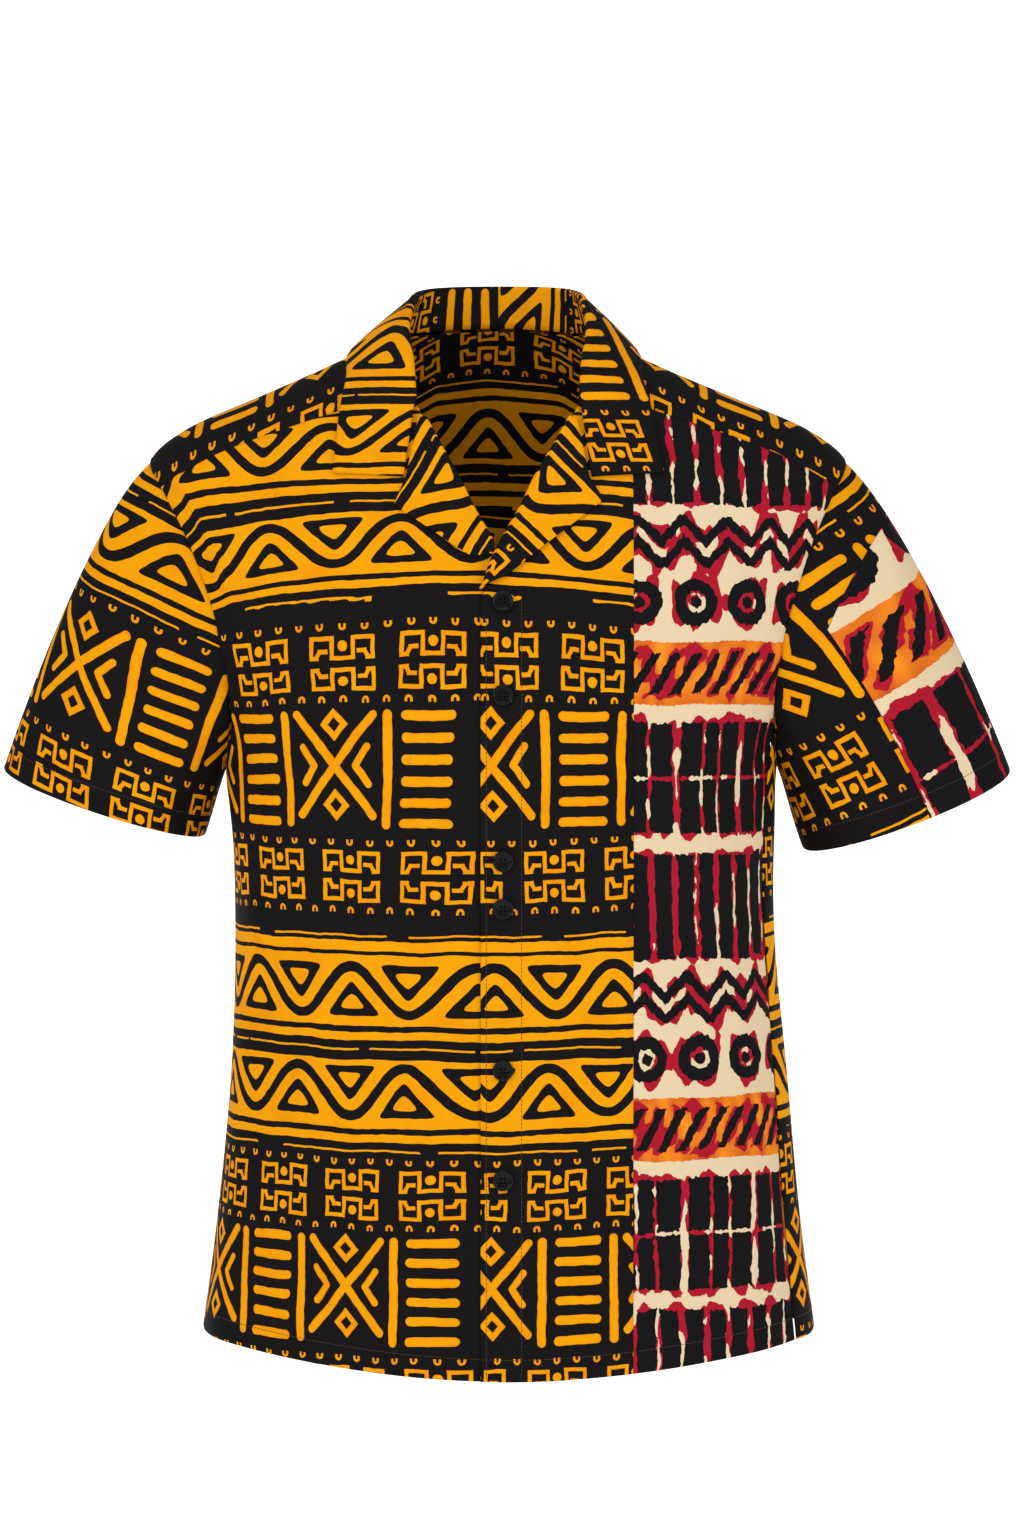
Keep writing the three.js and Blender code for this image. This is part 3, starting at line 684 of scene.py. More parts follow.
def right_front():
    neck_knot = 0.05
    inner, outer = opening_edge(-1, lap["right_edge"]), side_and_armhole(-1)
    top = led_by(inner(1), front_seam(-1, np.linspace(0, 1, 60)), neck_knot)
    bottom = hem_edge(inner(0)[0], -quarter)
    angle, z = patch(inner, outer, bottom, top, graded((neck_knot, 3), (1, 60)), front_rows)
    u, v = np.moveaxis(print_place(angle, z, reads=0.018, at=-0.100, chest=1.10, hem=0.93), -1, 0)
    by_lap = np.clip(girth(angle, z) - lap_print["from"], 0, None)
    u = u - lap_print["wider"] * by_lap * fade(z, *lap_print["fade"])
    base = body_point(angle, z)
    to_armhole = np.linalg.norm(base - base[:, -1:], axis=-1)
    chest = fade(z, *fold_print["fade"])
    v = v - fold_print["draw"] * np.clip(fold_print["reach"] - to_armhole, 0, None) * chest
    from_crosses = (v * 1000 - cross["middle"] + repeat / 2) % repeat - repeat / 2
    u = np.where(np.abs(from_crosses) < lap_print["ladder_half"], np.minimum(u, lap_print["last"]), u)
    lift = chest * (0.0018 * bell(to_armhole, **fold_ridge) - 0.0014 * bell(to_armhole, **fold_trough))
    creases = (
        (-128, -365, -136, -760, 2.2, -1),
        (-134, -365, -142, -760, 5, 1.1),
        (-205, -185, -150, -120, 9, -2.2),
        (-235, -215, -160, -225, 12, 2),
        (-250, -270, -150, -330, 17, -2.2),
        (-262, -300, -190, -430, 20, 2.4),
        (-215, -480, -235, -750, 26, 3),
        (-75, -520, -70, -750, 30, 2),
    )
    piece = body_panel("right_front", "front_right", angle, z, packed(u, v), lift, creases, right_wax)


right_front()


# ---- Left front --------------------
# Three panels: the inner one in the print laps over the right front and carries the buttons, then comes
# the contrast panel, then a narrow strip of the print beside the side seam.
contrast = {"inner_edge": 0.095, "hem_angle": math.radians(63), "seam_share": 2 / 12}
contrast_foot = (contrast["hem_angle"], hem_height(contrast["hem_angle"]))


def contrast_edge():
    """The seam between the print and the contrast panel: straight up from the hem to the shoulder seam."""
    top = front_seam(1, contrast["seam_share"])
    foot = hem_height(angle_at(contrast["inner_edge"], hem["side"]))
    z = np.linspace(foot, top[1], 80)
    return trace(packed(angle_at(np.linspace(contrast["inner_edge"], body_point(*top)[0], 80), z), z))


def lap_lift(x):
    """The left front stands off the right one where they overlap, and settles back past the overlap."""
    return lap["lift"] * (1 - fade(x, *lap["settles"]))


def left_front_inner():
    neck_knot = 0.3
    inner, outer = opening_edge(1, lap["left_edge"]), contrast_edge()
    top = led_by(inner(1), front_seam(1, np.linspace(0, contrast["seam_share"], 20)), neck_knot)
    bottom = hem_edge(inner(0)[0], outer(0)[0])
    angle, z = patch(inner, outer, bottom, top, graded((neck_knot, 7), (1, 18)), front_rows)
    place = print_place(angle, z, reads=0.068, at=0.060, chest=1.03, hem=0.95)
    lift = lap_lift(body_point(angle, z)[..., 0])
    piece = body_panel("left_front_inner", "front_left_inner", angle, z, place, lift, (), left_wax)


left_front_inner()

# Brush print: the contrast cloth is cream cotton printed in black with a crimson fringe, in level bands
# of brushed dashes, zigzags, rings, slanted hatching on orange, and slit blocks. The bands' middles are
# in millimetres down the repeat.
brush_repeat, brush_bands = 330.0, (46.0, 112.0, 156.0, 207.0, 283.0)


def brush_colour(place, u, v):
    """The cream, black and crimson print. Black is where the distance to a motif, roughened by noise that
    is stretched down the cloth, is under zero, and crimson is a ragged rim outside it."""
    cream, black, crimson = (0.62, 0.49, 0.31), (0.0058, 0.0054, 0.0062), (0.33, 0.007, 0.020)
    orange, rust = (0.80, 0.24, 0.012), (0.40, 0.035, 0.008)
    down = v.math("FLOORED_MODULO", brush_repeat)
    rough = (noise(scaled(place, 0.30, 0.11), 1.0, 2.0) - 0.5) * 5.0
    patchy = noise(scaled(place, 0.09, 0.04), 1.0)
    dashes, zigzag, rings, sunset, blocks = (down - middle for middle in brush_bands)

    dash = block(u.fold(9.0), dashes, 0, 0, 6.9, 38.0) + (patchy - 0.5) * 5.0
    zig = abs(abs((zigzag - u.fold(17.0) + 8.5) * 0.707) - 5.8) - 3.4
    ring = hypot(u.fold(21.0), rings)
    slant = abs((u + down * 0.6).fold(8.0)) * 0.86 - 3.2
    near = u.fold(29.0)
    slits = (abs(near - 7.5) * -1.0 + 1.3).most(abs(blocks) * -1.0 + 1.2)
    inked = dash.least(
        zig.most(abs(zigzag) - 19.0), abs(ring - 12.0) - 4.6, ring - 4.2, slant.most(abs(sunset) - 15.0),
        block(near, blocks, 0, 0, 26.0, 40.0).most(slits),
    ) + rough

    band = (abs(sunset) - 23.0) + rough * 0.6
    glow = blend_colours(patchy * 1.6 - 0.3, orange, rust)
    ground = blend_colours(band.under(0.0), cream, glow)
    ground = blend_colours(inked.under(((patchy - 0.42) * 22.0).most(0.0)), ground, crimson)
    return blend_colours(inked.under(0.0), ground, black)


brushed = cotton("brush_print", brush_colour, wobble=4.0, fray=1.2)


def left_front_panel():
    underarm = 0.71
    outer = led_by(contrast_foot, armhole_at(1, np.linspace(strip_step, yoke_step, 40)), underarm)
    top = trace(front_seam(1, np.linspace(contrast["seam_share"], 1, 50)))
    inner = contrast_edge()
    bottom = hem_edge(inner(0)[0], contrast["hem_angle"])
    angle, z = patch(inner, outer, bottom, top, graded((1, 40)), graded((underarm, 104), (1, 46)))
    place = packed(girth(angle, z) - 0.10, -z - 0.03)
    creases = (
        (205, -185, 165, -120, 10, -1.8),
        (225, -225, 170, -235, 13, 2),
        (245, -275, 160, -340, 17, -2.2),
        (180, -500, 190, -750, 26, 2.6),
    )
    piece = body_panel("left_front_panel", "front_left_panel", angle, z, place, 0.0, creases, brushed)


def left_front_side():
    underarm = armhole_steps / 2
    inner = trace(np.array([contrast_foot, armhole_at(1, strip_step)]))
    outer = trace(np.array([(quarter, hem["side"]), armhole_at(1, underarm)]))
    top = trace(armhole_at(1, np.linspace(strip_step, underarm, 16)))
    bottom = hem_edge(contrast["hem_angle"], quarter)
    angle, z = patch(inner, outer, bottom, top, graded((1, 14)), graded((1, 96)))
    place = print_place(angle, z, reads=0.030, at=0, chest=1.05, hem=1.05)
    creases = ((262, -330, 225, -480, 20, 2.2), (235, -520, 245, -750, 24, 2.4))
    piece = body_panel("left_front_side", "front_left_side", angle, z, place, 0.0, creases)


left_front_panel()
left_front_side()


# ---- Back --------------------
# One plain panel of the print from side seam to side seam, with a little ease below the yoke's seam. Its
# angles run on past half a turn, so the right side's have a whole turn added.
back_seam_dip = 0.008
whole_turn = np.array([2 * math.pi, 0])


def back_seam():
    """The seam between the back and the yoke, from the left armhole to the right one, dipped between."""
    left, right = (armhole_at(side, armhole_steps - yoke_step) for side in (1, -1))
    t = np.linspace(0, 1, 80)
    angle = left[0] + (right[0] + whole_turn[0] - left[0]) * t
    return packed(angle, left[1] - back_seam_dip * np.sin(math.pi * t))


def back():
    left, right = (side_and_armhole(side, armhole_steps - yoke_step) for side in (1, -1))
    angle, z = patch(
        left, lambda t: right(t) + whole_turn, hem_edge(quarter, 3 * quarter), trace(back_seam()),
        graded((1, 104)), graded((underarm_knot, 96), (1, 48)),
    )
    middle = girth(np.array([math.pi]), np.array([-0.3]))[0]
    creases = np.array((
        (-45, -100, -60, -330, 12, 3),
        (50, -100, 45, -300, 14, 2.6),
        (-190, -210, -90, -300, 14, -2.2),
        (200, -215, 80, -330, 15, -2.4),
        (-180, -330, -130, -520, 22, 3),
        (170, -350, 120, -560, 24, 2.8),
        (-100, -450, -110, -750, 28, 3.4),
        (35, -500, 40, -750, 26, 2.6),
        (150, -560, 165, -750, 24, 3.4),
    )) + np.multiply((1, 0, 1, 0, 0, 0), middle * 1000)
    centre_back = girth(np.full_like(z, math.pi), z)
    place = print_place(angle, z, reads=0.065, at=centre_back, chest=1, hem=1)
    piece = body_panel("back_panel", "back", angle, z, place, 0.0, creases)


back()


# ---- Yoke --------------------
# One piece of the print over both shoulders, from the front shoulder seams to the seam across the back.
# Its print's small marks run along the front seam.
neck_rows = table(
    "angle z",
    (21, -0.033), (30, -0.014), (51, 0.007), (90, 0.019), (118, 0.022), (138, 0.026), (180, 0.029),
    scale=1,
)
# Where the yoke's outer edge passes from an armhole to the back's seam and to the other armhole.
yoke_knots = (6 / 26, 20 / 26)


def neck_edge():
    """The neck edge from the left front shoulder seam round the back to the right one."""
    degrees = np.linspace(neck_rows["angle"][0], 180, 50)[1:]
    left = packed(np.radians(degrees), column(neck_rows, "angle", "z", degrees))
    right = left[-2::-1] * (-1, 1) + whole_turn
    return np.vstack([front_seam(1, 0), left, right, front_seam(-1, 0) + whole_turn])


def yoke_place(points):
    """The print runs down towards the front seam by the distance from it, and is looser in front of the
    shoulder's ridge than behind it."""
    front_stretch, ridge_power, neck_drop = 1.6, 1.4, 0.015
    x, y, z = np.moveaxis(points, -1, 0)
    out = np.abs(x - neck_shift)
    seam = body_point(*np.moveaxis(front_seam(1, np.linspace(0, 1, 60)), -1, 0))
    seam_y, seam_z = (np.interp(out, seam[:, 0] - neck_shift, seam[:, k]) for k in (1, 2))
    ridge = np.interp(out, form["half"][:7], form["z"][:7])
    start = 0.3035 + neck_drop * np.clip(1 - (out - 0.07) / 0.13, 0, 1)
    in_front = start - np.hypot(y - seam_y, z - seam_z) / front_stretch
    behind = (np.abs(y) ** ridge_power + np.clip(ridge - z, 0, None) ** ridge_power) ** (1 / ridge_power)
    behind = start - np.hypot(seam_y, ridge - seam_z) / front_stretch - behind
    return packed(x * 1.05 + 0.012, np.where(y < 0, in_front, behind))


def yoke():
    near = armhole_at(1, np.linspace(yoke_step, -yoke_step, 30))
    far = armhole_at(-1, np.linspace(-yoke_step, yoke_step, 30)) + whole_turn
    outer = np.vstack([near, back_seam()[1:-1], far])
    knots = in_legs(0, (yoke_knots[0], 29), (yoke_knots[1], 79), (1, 29))
    t = np.linspace(1, 0, 60)
    start, end = trace(front_seam(1, t)), trace(front_seam(-1, t) + whole_turn)
    columns = graded((yoke_knots[0], 26), (yoke_knots[1], 96), (1, 26))
    angle, z = patch(start, end, trace(outer, knots), trace(neck_edge()), columns, graded((1, 44)))
    piece = body_panel("shoulder_yoke", "yoke", angle, z, yoke_place(body_point(angle, z)))


yoke()


# ---- Lapels --------------------
# The fronts' facings, turned out over the roll line to the notch and up the gorge to the collar. Their
# print's rows slant by a lean in degrees.
notch = np.array([0.068, -0.095])
gorge_gap = 0.0015
lapel_lift, lapel_puff, lapel_thickness = 0.0028, 0.0012, 0.0012
lapel_shapes = {
    "right": {
        "side": -1, "point": (0.075, -0.116), "lower": ((0.019, -0.154), (0.034, -0.144), (0.050, -0.133)),
        "roll": (0.004, -0.152), "lean": 31, "start": (-0.028, 0.159),
    },
    "left": {
        "side": 1, "point": (0.077, -0.112), "lower": ((0.008, -0.168), (0.031, -0.149), (0.051, -0.133)),
        "roll": (-0.010, -0.176), "lean": 44, "start": (0.010, 0.164),
    },
}


def grid_normal(points):
    """Square to a grid: the way along its rows crossed with the way along its columns."""
    return unit(np.cross(np.gradient(points, axis=1), np.gradient(points, axis=0)))


def lapel_place(side, out, z, lean, start):
    """The facing's print, whose rows run up towards the neck."""
    up, lean = z - roll_line["z"][1], math.radians(lean)
    across = up * math.cos(lean) - out * math.sin(lean)
    return packed(start[0] - side * across, start[1] - (up * math.sin(lean) + out * math.cos(lean)))


def lapel(name, node, side, point, lower, roll, lean, start):
    end = np.array([roll_line["out"][-1], roll_line["z"][-1]])
    top_z = end[1] - 0.009
    height = np.linspace(roll[1], top_z, 40)
    out = np.maximum(column(roll_line, "z", "out", height), roll[0])
    inner = trace(np.vstack([roll, packed(out, height)[1:]]))
    meeting, gorge_start = notch - (gorge_gap, 0), end - (gorge_gap, 0)
    gorge_top = gorge_start + (meeting - gorge_start) * (end[1] - top_z) / (end[1] - notch[1])
    outer = trace(np.vstack([point, meeting, gorge_top]), (0, 4 / 9, 1))
    top = trace(np.vstack([inner(1), gorge_top]))
    s, t = graded((1, 22)), graded((4 / 9, 14), (1, 26))
    bottom = trace(np.vstack([roll, *lower, point]), (0, 0.2, 0.4, 0.6, 1))
    out, z = patch(inner, outer, bottom, top, s, t)
    x = side * out + neck_shift
    angle = angle_at(x, z)
    bulge = 1 - s + np.sin(math.pi * s) * np.sin(math.pi * np.clip(t, 0, 0.9))[:, None]
    points = raised(angle, z, (lap_lift(x) if side > 0 else 0.0) + lapel_lift + lapel_puff * bulge)
    sunk = dip(edge_distance(points), depth=0.0008, reach=0.0025)
    sunk[:, :5] = 0

    # The roll: an arc from the front below it over to the facing's first column.
    turn = np.linspace(math.pi, 0.15, 8)[:, None]
    over, under = points[:, :1], body_point(angle[:, :1], z[:, :1])
    middle, up = (over + under) / 2, (over - under) / 2
    inward = unit(over - points[:, 3:4]) * np.linalg.norm(up, axis=-1, keepdims=True)
    points = np.concatenate([middle + up * np.cos(turn) + inward * np.sin(turn), points], axis=1)
    place = np.pad(lapel_place(side, out, z, lean, start), ((0, 0), (len(turn), 0), (0, 0)), "edge")
    normal = grid_normal(points)
    normal = normal * np.sign((normal * body_normal(0.0, -0.12)).sum())
    points = points - normal * np.pad(sunk, ((0, 0), (len(turn), 0)))[..., None]
    piece = cloth_mesh(name, points, place, wax, node, normal, thickness=lapel_thickness)


lapel("lapel_right_facing", "lapel_right", **lapel_shapes["right"])
lapel("lapel_left_facing", "lapel_left", **lapel_shapes["left"])


# ---- Collar --------------------
# Two halves joined at the centre back, each of two layers. The stand rises from the neck edge, turns over
# at the roll and falls as the leaf, which lies on the fronts and the yoke.
# Each row: the angle and height at the neck edge, the roll's point, the angle and height of the leaf's
# edge, the way that the roll faces, its tilt up, and the edge's lift.
collar_rows = (
    (17, -0.046, 0.0605, -0.0835, -0.041, 26.5, -0.092, 12, 0.50, 0.0040),
    (28, -0.015, 0.064, -0.068, -0.009, 29.5, -0.051, 38, 0.35, 0.0044),
    (51, 0.007, 0.068, -0.038, 0.020, 41, -0.023, 64, 0.20, 0.0050),
    (90, 0.019, 0.064, 0.006, 0.045, 90, 0.003, 92, 0.10, 0.0046),
    (118, 0.022, 0.057, 0.040, 0.054, 124, -0.003, 125, 0, 0.0050),
    (138, 0.026, 0.039, 0.060, 0.058, 150, -0.004, 150, 0, 0.0070),
    (180, 0.029, 0, 0.073, 0.060, 180, -0.003, 180, 0, 0.0080),
)
collar_fold, front_fold, leaf_lift, collar_thickness = 0.0034, 0.0021, 0.0034, 0.0017
stand_steps, turn_steps, leaf_steps, station_steps = 6, 10, 24, 11
roll_step = stand_steps + turn_steps // 2


def collar_profile(side, base_angle, base_z, x, y, z, edge_angle, edge_z, facing, tilt, lift):
    """One section of the collar: the stand, a half circle over the roll, and the leaf to its edge."""
    front = base_z == collar_rows[0][1]
    roll = np.array([side * x + neck_shift, y, z])
    base_angle, edge_angle, facing = np.radians((side * base_angle, side * edge_angle, facing))
    outward = unit(np.array([side * math.sin(facing), -math.cos(facing), tilt]))
    base = raised(base_angle, base_z, 0.0024 if front else 0.0) + (0, 0, 0.0015)
    if not front:
        base = base - 0.0026 * unit(outward * (1, 1, 0))
    edge = raised(edge_angle, edge_z, lift)
    top = unit(np.cross(unit(np.cross(outward, edge - roll)), outward))
    top = top * -np.sign(top @ (edge - roll))
    turn = np.linspace(0, math.pi, turn_steps + 1)[:, None]
    arc = roll + (top * np.sin(turn) - outward * np.cos(turn)) * (front_fold if front else collar_fold)
    stand = base + (arc[0] - base) * np.linspace(0, 1, stand_steps + 1)[:, None]
    t = np.linspace(0, 1, leaf_steps + 1)[1:, None]
    if front:
        gorge = raised(*on_front(side, *notch), leaf_lift)
        leaf = read_rows(t[:, 0], (0, 0.5, 1), (arc[-1], gorge, edge))
    else:
        middle = (arc[-1] + edge) / 2 + outward * 0.002 + top * 0.001
        leaf = arc[-1] * (1 - t) ** 2 + middle * 2 * t * (1 - t) + edge * t**2
    return np.vstack([stand, arc[1:], leaf])


def through(stations, steps):
    """Smooth lines through the stations' matching points, by centripetal Catmull-Rom."""
    before, after = 2 * stations[:1] - stations[1:2], 2 * stations[-1:] - stations[-2:-1]
    ends = np.concatenate([before, stations, after])
    gap = np.sqrt(np.linalg.norm(np.diff(ends, axis=0), axis=-1, keepdims=True)) + 1e-6
    t = (np.arange(steps) / steps)[:, None, None]
    lines = []
    for i in range(len(stations) - 1):
        p0, p1, p2, p3 = ends[i:i + 4]
        d0, d1, d2 = gap[i:i + 3]
        leave = ((p1 - p0) / d0 - (p2 - p0) / (d0 + d1) + (p2 - p1) / d1) * d1
        reach = ((p2 - p1) / d1 - (p3 - p1) / (d1 + d2) + (p3 - p2) / d2) * d1
        lines.append(p1 + cubic(t, p2 - p1, leave, reach))
    return np.concatenate([*lines, stations[-1:]])


def body_level(points):
    """How far out a point lies as a share of the body's section at its height: 0 is on the surface."""
    x, y, z = np.moveaxis(points, -1, 0)
    across = (x - section("shift", z)) / section("half", z)
    deep = y / np.where(y < 0, section("front", z), section("back", z))
    reach = np.hypot(across, deep)
    twice = 2 * across * deep / np.maximum(reach, 1e-9) ** 2
    return reach / (1 + section("square", z) * twice**2) - 1


def clear_of_body(points, lift):
    """Moves the leaf's points below the shoulder straight out of the body until they are a lift clear."""
    step = 0.0005
    slope = packed(*(body_level(points + axis) - body_level(points - axis) for axis in np.eye(3) * step))
    slope /= 2 * step
    steep = np.linalg.norm(slope, axis=-1)
    short = np.clip(lift - body_level(points) / steep, 0, None) * (points[..., 2] < neck_rows["z"][2])
    return points + slope / steep[..., None] * short[..., None]


def collar_place(points, side, start):
    """The print on a collar half. In front its rows are level and its columns lean out as the leaf's outer
    edge does; from the shoulder back they follow the roll. Over the roll they run on into the stand."""
    column_lean, row_stretch, shoulder = 0.358, 1.12, 3 * station_steps
    behind = fade(np.arange(len(points))[:, None] / station_steps, 2, 4)
    along = run_along(points[:, roll_step])[:, None]
    across = run_along(points, 1)
    across -= across[:, roll_step:roll_step + 1]
    leaf = np.maximum(np.arange(points.shape[1]), roll_step)
    high = points[:, leaf, 2] - collar_rows[0][6]
    out = side * (points[:, leaf, 0] - neck_shift) + column_lean * high + np.minimum(across, 0)
    level = row_stretch * high
    round_back = along - along[shoulder] + level[shoulder, roll_step]
    u = out * (1 - behind) + (across + out[shoulder, roll_step]) * behind
    return packed(start[0] + side * u, start[1] - level * (1 - behind) - round_back * behind)


def collar_half(name, node, side, start):
    profiles = np.stack([collar_profile(side, *row) for row in collar_rows])
    profiles[-1, :, 0] = neck_shift
    far = profiles[:-1][::-1] * (-1, 1, 1) + (2 * neck_shift, 0, 0)
    whole = through(np.concatenate([profiles, far]), station_steps)
    points = whole[:len(whole) // 2 + 1]
    leaf = stand_steps + turn_steps + 1
    points[:, leaf:] = clear_of_body(points[:, leaf:], leaf_lift)
    place = collar_place(points, side, start)
    normal = grid_normal(points)
    normal = normal * np.sign(normal[30, -8] @ body_normal(side * quarter, 0.0))
    sunk = dip(edge_distance(points), depth=0.0010, reach=0.0030)
    sunk[:, :leaf] = 0
    points = points - normal * sunk[..., None]
    piece = cloth_mesh(name, points, place, wax, node, normal, thickness=collar_thickness)


collar_half("collar_half_right", "collar_right", -1, (0.026, 0.142))
collar_half("collar_half_left", "collar_left", 1, (-0.034, 0.349))


# ---- Sleeves --------------------
# Wide short sleeves set into the armholes. Each of a sleeve's lines leaves the armhole along the
# shoulder's slope and reaches the hem along the arm. The left one has a patch of the contrast cloth.
sleeves = {
    "right": {"side": -1, "centre": (-0.298, 0, -0.331), "half": 0.0795, "tilt": 18.7, "slant": 0.008},
    "left": {"side": 1, "centre": (0.3035, 0, -0.337), "half": 0.083, "tilt": 21.0, "slant": 0.010},
}
sleeve_depth = 0.062
# How far out and down a sleeve's lines leave the armhole's top, its underside, and its front and back.
sleeve_leaves = np.array([(0.77, 0.64), (0.5, 0.86), (0.7, 0.65)])
# A sleeve's print: where it starts across and down at the top of the hem, how fast it falls with height
# above the hem, and how its rows and its columns lean.
sleeve_prints = {
    "right": {"start": (-0.080, 0.301), "fall": 0.97, "row_lean": 0.05, "column_lean": 0.25},
    "left": {"start": (0.140, 0.335), "fall": 0.78, "row_lean": 0.10, "column_lean": 0.04},
}
patch_top, patch_back, patch_front = 0.28, 24 - armhole_steps, 7
under_steps = armhole_steps / 2


def sleeve_ways(name):
    """The way down a sleeve's axis and the way out across its hem."""
    side, lean = sleeves[name]["side"], math.radians(sleeves[name]["tilt"])
    return (np.array([side * math.sin(lean), 0, -math.cos(lean)]),
            np.array([side * math.cos(lean), 0, math.sin(lean)]))


def sleeve_point(name, step, t):
    """A sleeve's point at a step round its armhole, and at a t of 0 at the armhole and 1 at the hem."""
    side, centre, half, slant = (sleeves[name][key] for key in ("side", "centre", "half", "slant"))
    turn = step / armhole_steps * 2 * math.pi
    to_front, to_top = np.sin(turn), np.cos(turn)
    shares = packed(((1 + to_top) / 2) ** 2, ((1 - to_top) / 2) ** 2, to_front**2)
    out, down = np.moveaxis(shares @ sleeve_leaves, -1, 0)
    leave = unit(packed(side * out, -0.3 * to_front**3, -down))
    start = raised(*np.moveaxis(armhole_at(side, step), -1, 0), 0.0008 * shares[..., 1] - 0.0011)
    start = start - leave * 0.0015
    axis, wide = sleeve_ways(name)
    to_front, to_top = to_front[..., None], to_top[..., None]
    end = centre + wide * half * to_top + (axis * slant - (0, sleeve_depth, 0)) * to_front
    length = np.linalg.norm(end - start, axis=-1, keepdims=True)
    first, second = start + leave * length * 0.16, end - axis * length * 0.42
    t = t[..., None]
    return start * (1 - t) ** 3 + first * 3 * t * (1 - t) ** 2 + second * 3 * t**2 * (1 - t) + end * t**3


def from_axis(name, points):
    """The way to each point from a sleeve's axis, square to it."""
    axis = sleeve_ways(name)[0]
    away = points - sleeves[name]["centre"]
    return away - dotted(away, axis) * axis


def sleeve_place(name, girth_from_top, height):
    """Rows fall with height above the hem and across is the hem's girth, each with its lean. Behind the
    sleeve's top the rows level out."""
    lie, side, levels_in = sleeve_prints[name], sleeves[name]["side"], 0.06
    behind = levels_in * np.expm1(girth_from_top / levels_in)
    to_front = np.where(girth_from_top > 0, girth_from_top, behind)
    across = lie["start"][0] + lie["column_lean"] * height - side * 0.95 * girth_from_top
    return packed(across, lie["start"][1] - lie["fall"] * height - lie["row_lean"] * to_front)


def sleeve_cloth(name, steps, t, closed=True):
    """Points, print and outward ways of a sleeve or a part of one, which may not close round the arm."""
    points = sleeve_point(name, *np.meshgrid(steps, t))
    ring_steps, fine = np.linspace(-under_steps, armhole_steps, 361), np.linspace(0, 1, 121)
    ring = run_along(sleeve_point(name, ring_steps, np.ones(361)))
    across = np.interp(steps, ring_steps, ring) - np.interp(0, ring_steps, ring)
    run = run_along(sleeve_point(name, *np.meshgrid(steps, fine)))
    height = run[-1] - read_rows(t, fine, run)
    across = np.broadcast_to(across, height.shape)
    normal = grid_normal(points)
    normal = normal * np.sign(dotted(normal, from_axis(name, points)))
    down = t[:, None]
    lift = folds(across, height, sleeve_creases[name]) * smooth(down * 12)
    lift = lift - dip(down * run[-1], depth=0.0009, reach=0.004) - dip(height, depth=0.0009, reach=0.002)
    if not closed:
        lift = lift - dip(edge_distance(points), depth=0.0005, reach=0.003)
    return points + normal * lift[..., None], sleeve_place(name, across, height), normal


sleeve_creases = {
    "right": (
        (20, 230, 75, 80, 13, 2.6), (110, 150, 120, 10, 18, -3),
        (-50, 220, -80, 60, 16, 2.8), (165, 110, 155, 10, 16, 3.4),
        (-130, 130, -120, 10, 18, -3), (60, 60, 62, -20, 20, 2),
    ),
    "left": (
        (25, 220, 90, 70, 14, 2.4), (120, 140, 125, 0, 18, -2.8),
        (-60, 220, -85, 60, 16, 2.6), (170, 120, 160, 10, 17, 3.2),
        (-125, 140, -130, 10, 18, -3),
    ),
}


def sleeve_right():
    steps = np.linspace(-under_steps, under_steps, 121)[:-1]
    points, place, away = sleeve_cloth("right", steps, graded((1, 60)))
    last = ((0, 0), (0, 1), (0, 0))
    points, away = np.pad(points, last, "wrap"), np.pad(away, last, "wrap")
    place = np.pad(place, last, "reflect", reflect_type="odd")
    piece = cloth_mesh("sleeve_right_cloth", points, place, sleeve_wax, "sleeve_right", away)


sleeve_right()


def sleeve_left():
    """The left sleeve with an opening for its patch, and the patch."""
    rows, steps = graded((patch_top, 20), (1, 46)), np.linspace(-under_steps, under_steps, 121)
    points, place, away = sleeve_cloth("left", steps, rows)
    step, row = (steps[:-1] + steps[1:]) / 2, (rows[:-1] + rows[1:]) / 2
    kept = ~((row > patch_top)[:, None] & (step > patch_back) & (step < patch_front))
    piece = cloth_mesh("sleeve_left_cloth", points, place, sleeve_wax, "sleeve_left", away, kept=kept)

    rows = patch_top + (1 - patch_top) * graded((1, 46))
    steps = patch_back + (patch_front - patch_back) * graded((1, 52))
    points, place, away = sleeve_cloth("left", steps, rows, closed=False)
    place = place * (0.6, 1) + (0.04, -0.02)
    piece = cloth_mesh("sleeve_left_patch", points, place, brushed, "sleeve_left_panel", away)


sleeve_left()


# ---- Topstitching --------------------
# Dark cotton thread in lockstitch, about nine stitches to 25 mm, along the hem, the sleeve hems and both
# lines of the placket. Each stitch is a short rounded bar that is sunk halfway into the cloth.
stitch_step, stitch_length, thread_radius, stitch_gap = 0.0028, 0.0021, 0.00024, 0.006
hem_turn_up, sleeve_turn_up = 0.016, 0.018
placket_lines = ((-0.0108, -0.200), (0.0143, -0.186))


def stitch_row(name, starts, ways):
    """Stitches at even steps along the row where rays meet a piece of cloth: centre, way along and way
    out, of unit length. None bridges a gap in the row."""
    mesh = bpy.data.objects[name].data
    tree = BVHTree.FromPolygons([v.co for v in mesh.vertices], [face.vertices for face in mesh.polygons])
    reach = 0.06
    met = [tree.ray_cast(Vector(start), Vector(way), reach)[0] for start, way in zip(starts, ways)]
    points, out = np.array([(hit, -way) for hit, way in zip(met, ways) if hit]).transpose(1, 0, 2)
    run = run_along(points)
    at = np.arange(stitch_step / 2, run[-1], stitch_step)
    at = at[np.diff(run)[np.searchsorted(run, at) - 1] < stitch_gap]
    along = unit(read_rows(at + 0.001, run, points) - read_rows(at - 0.001, run, points))
    normal = read_rows(at, run, out)
    return np.stack([read_rows(at, run, points), along, unit(normal - along * dotted(normal, along))], 1)


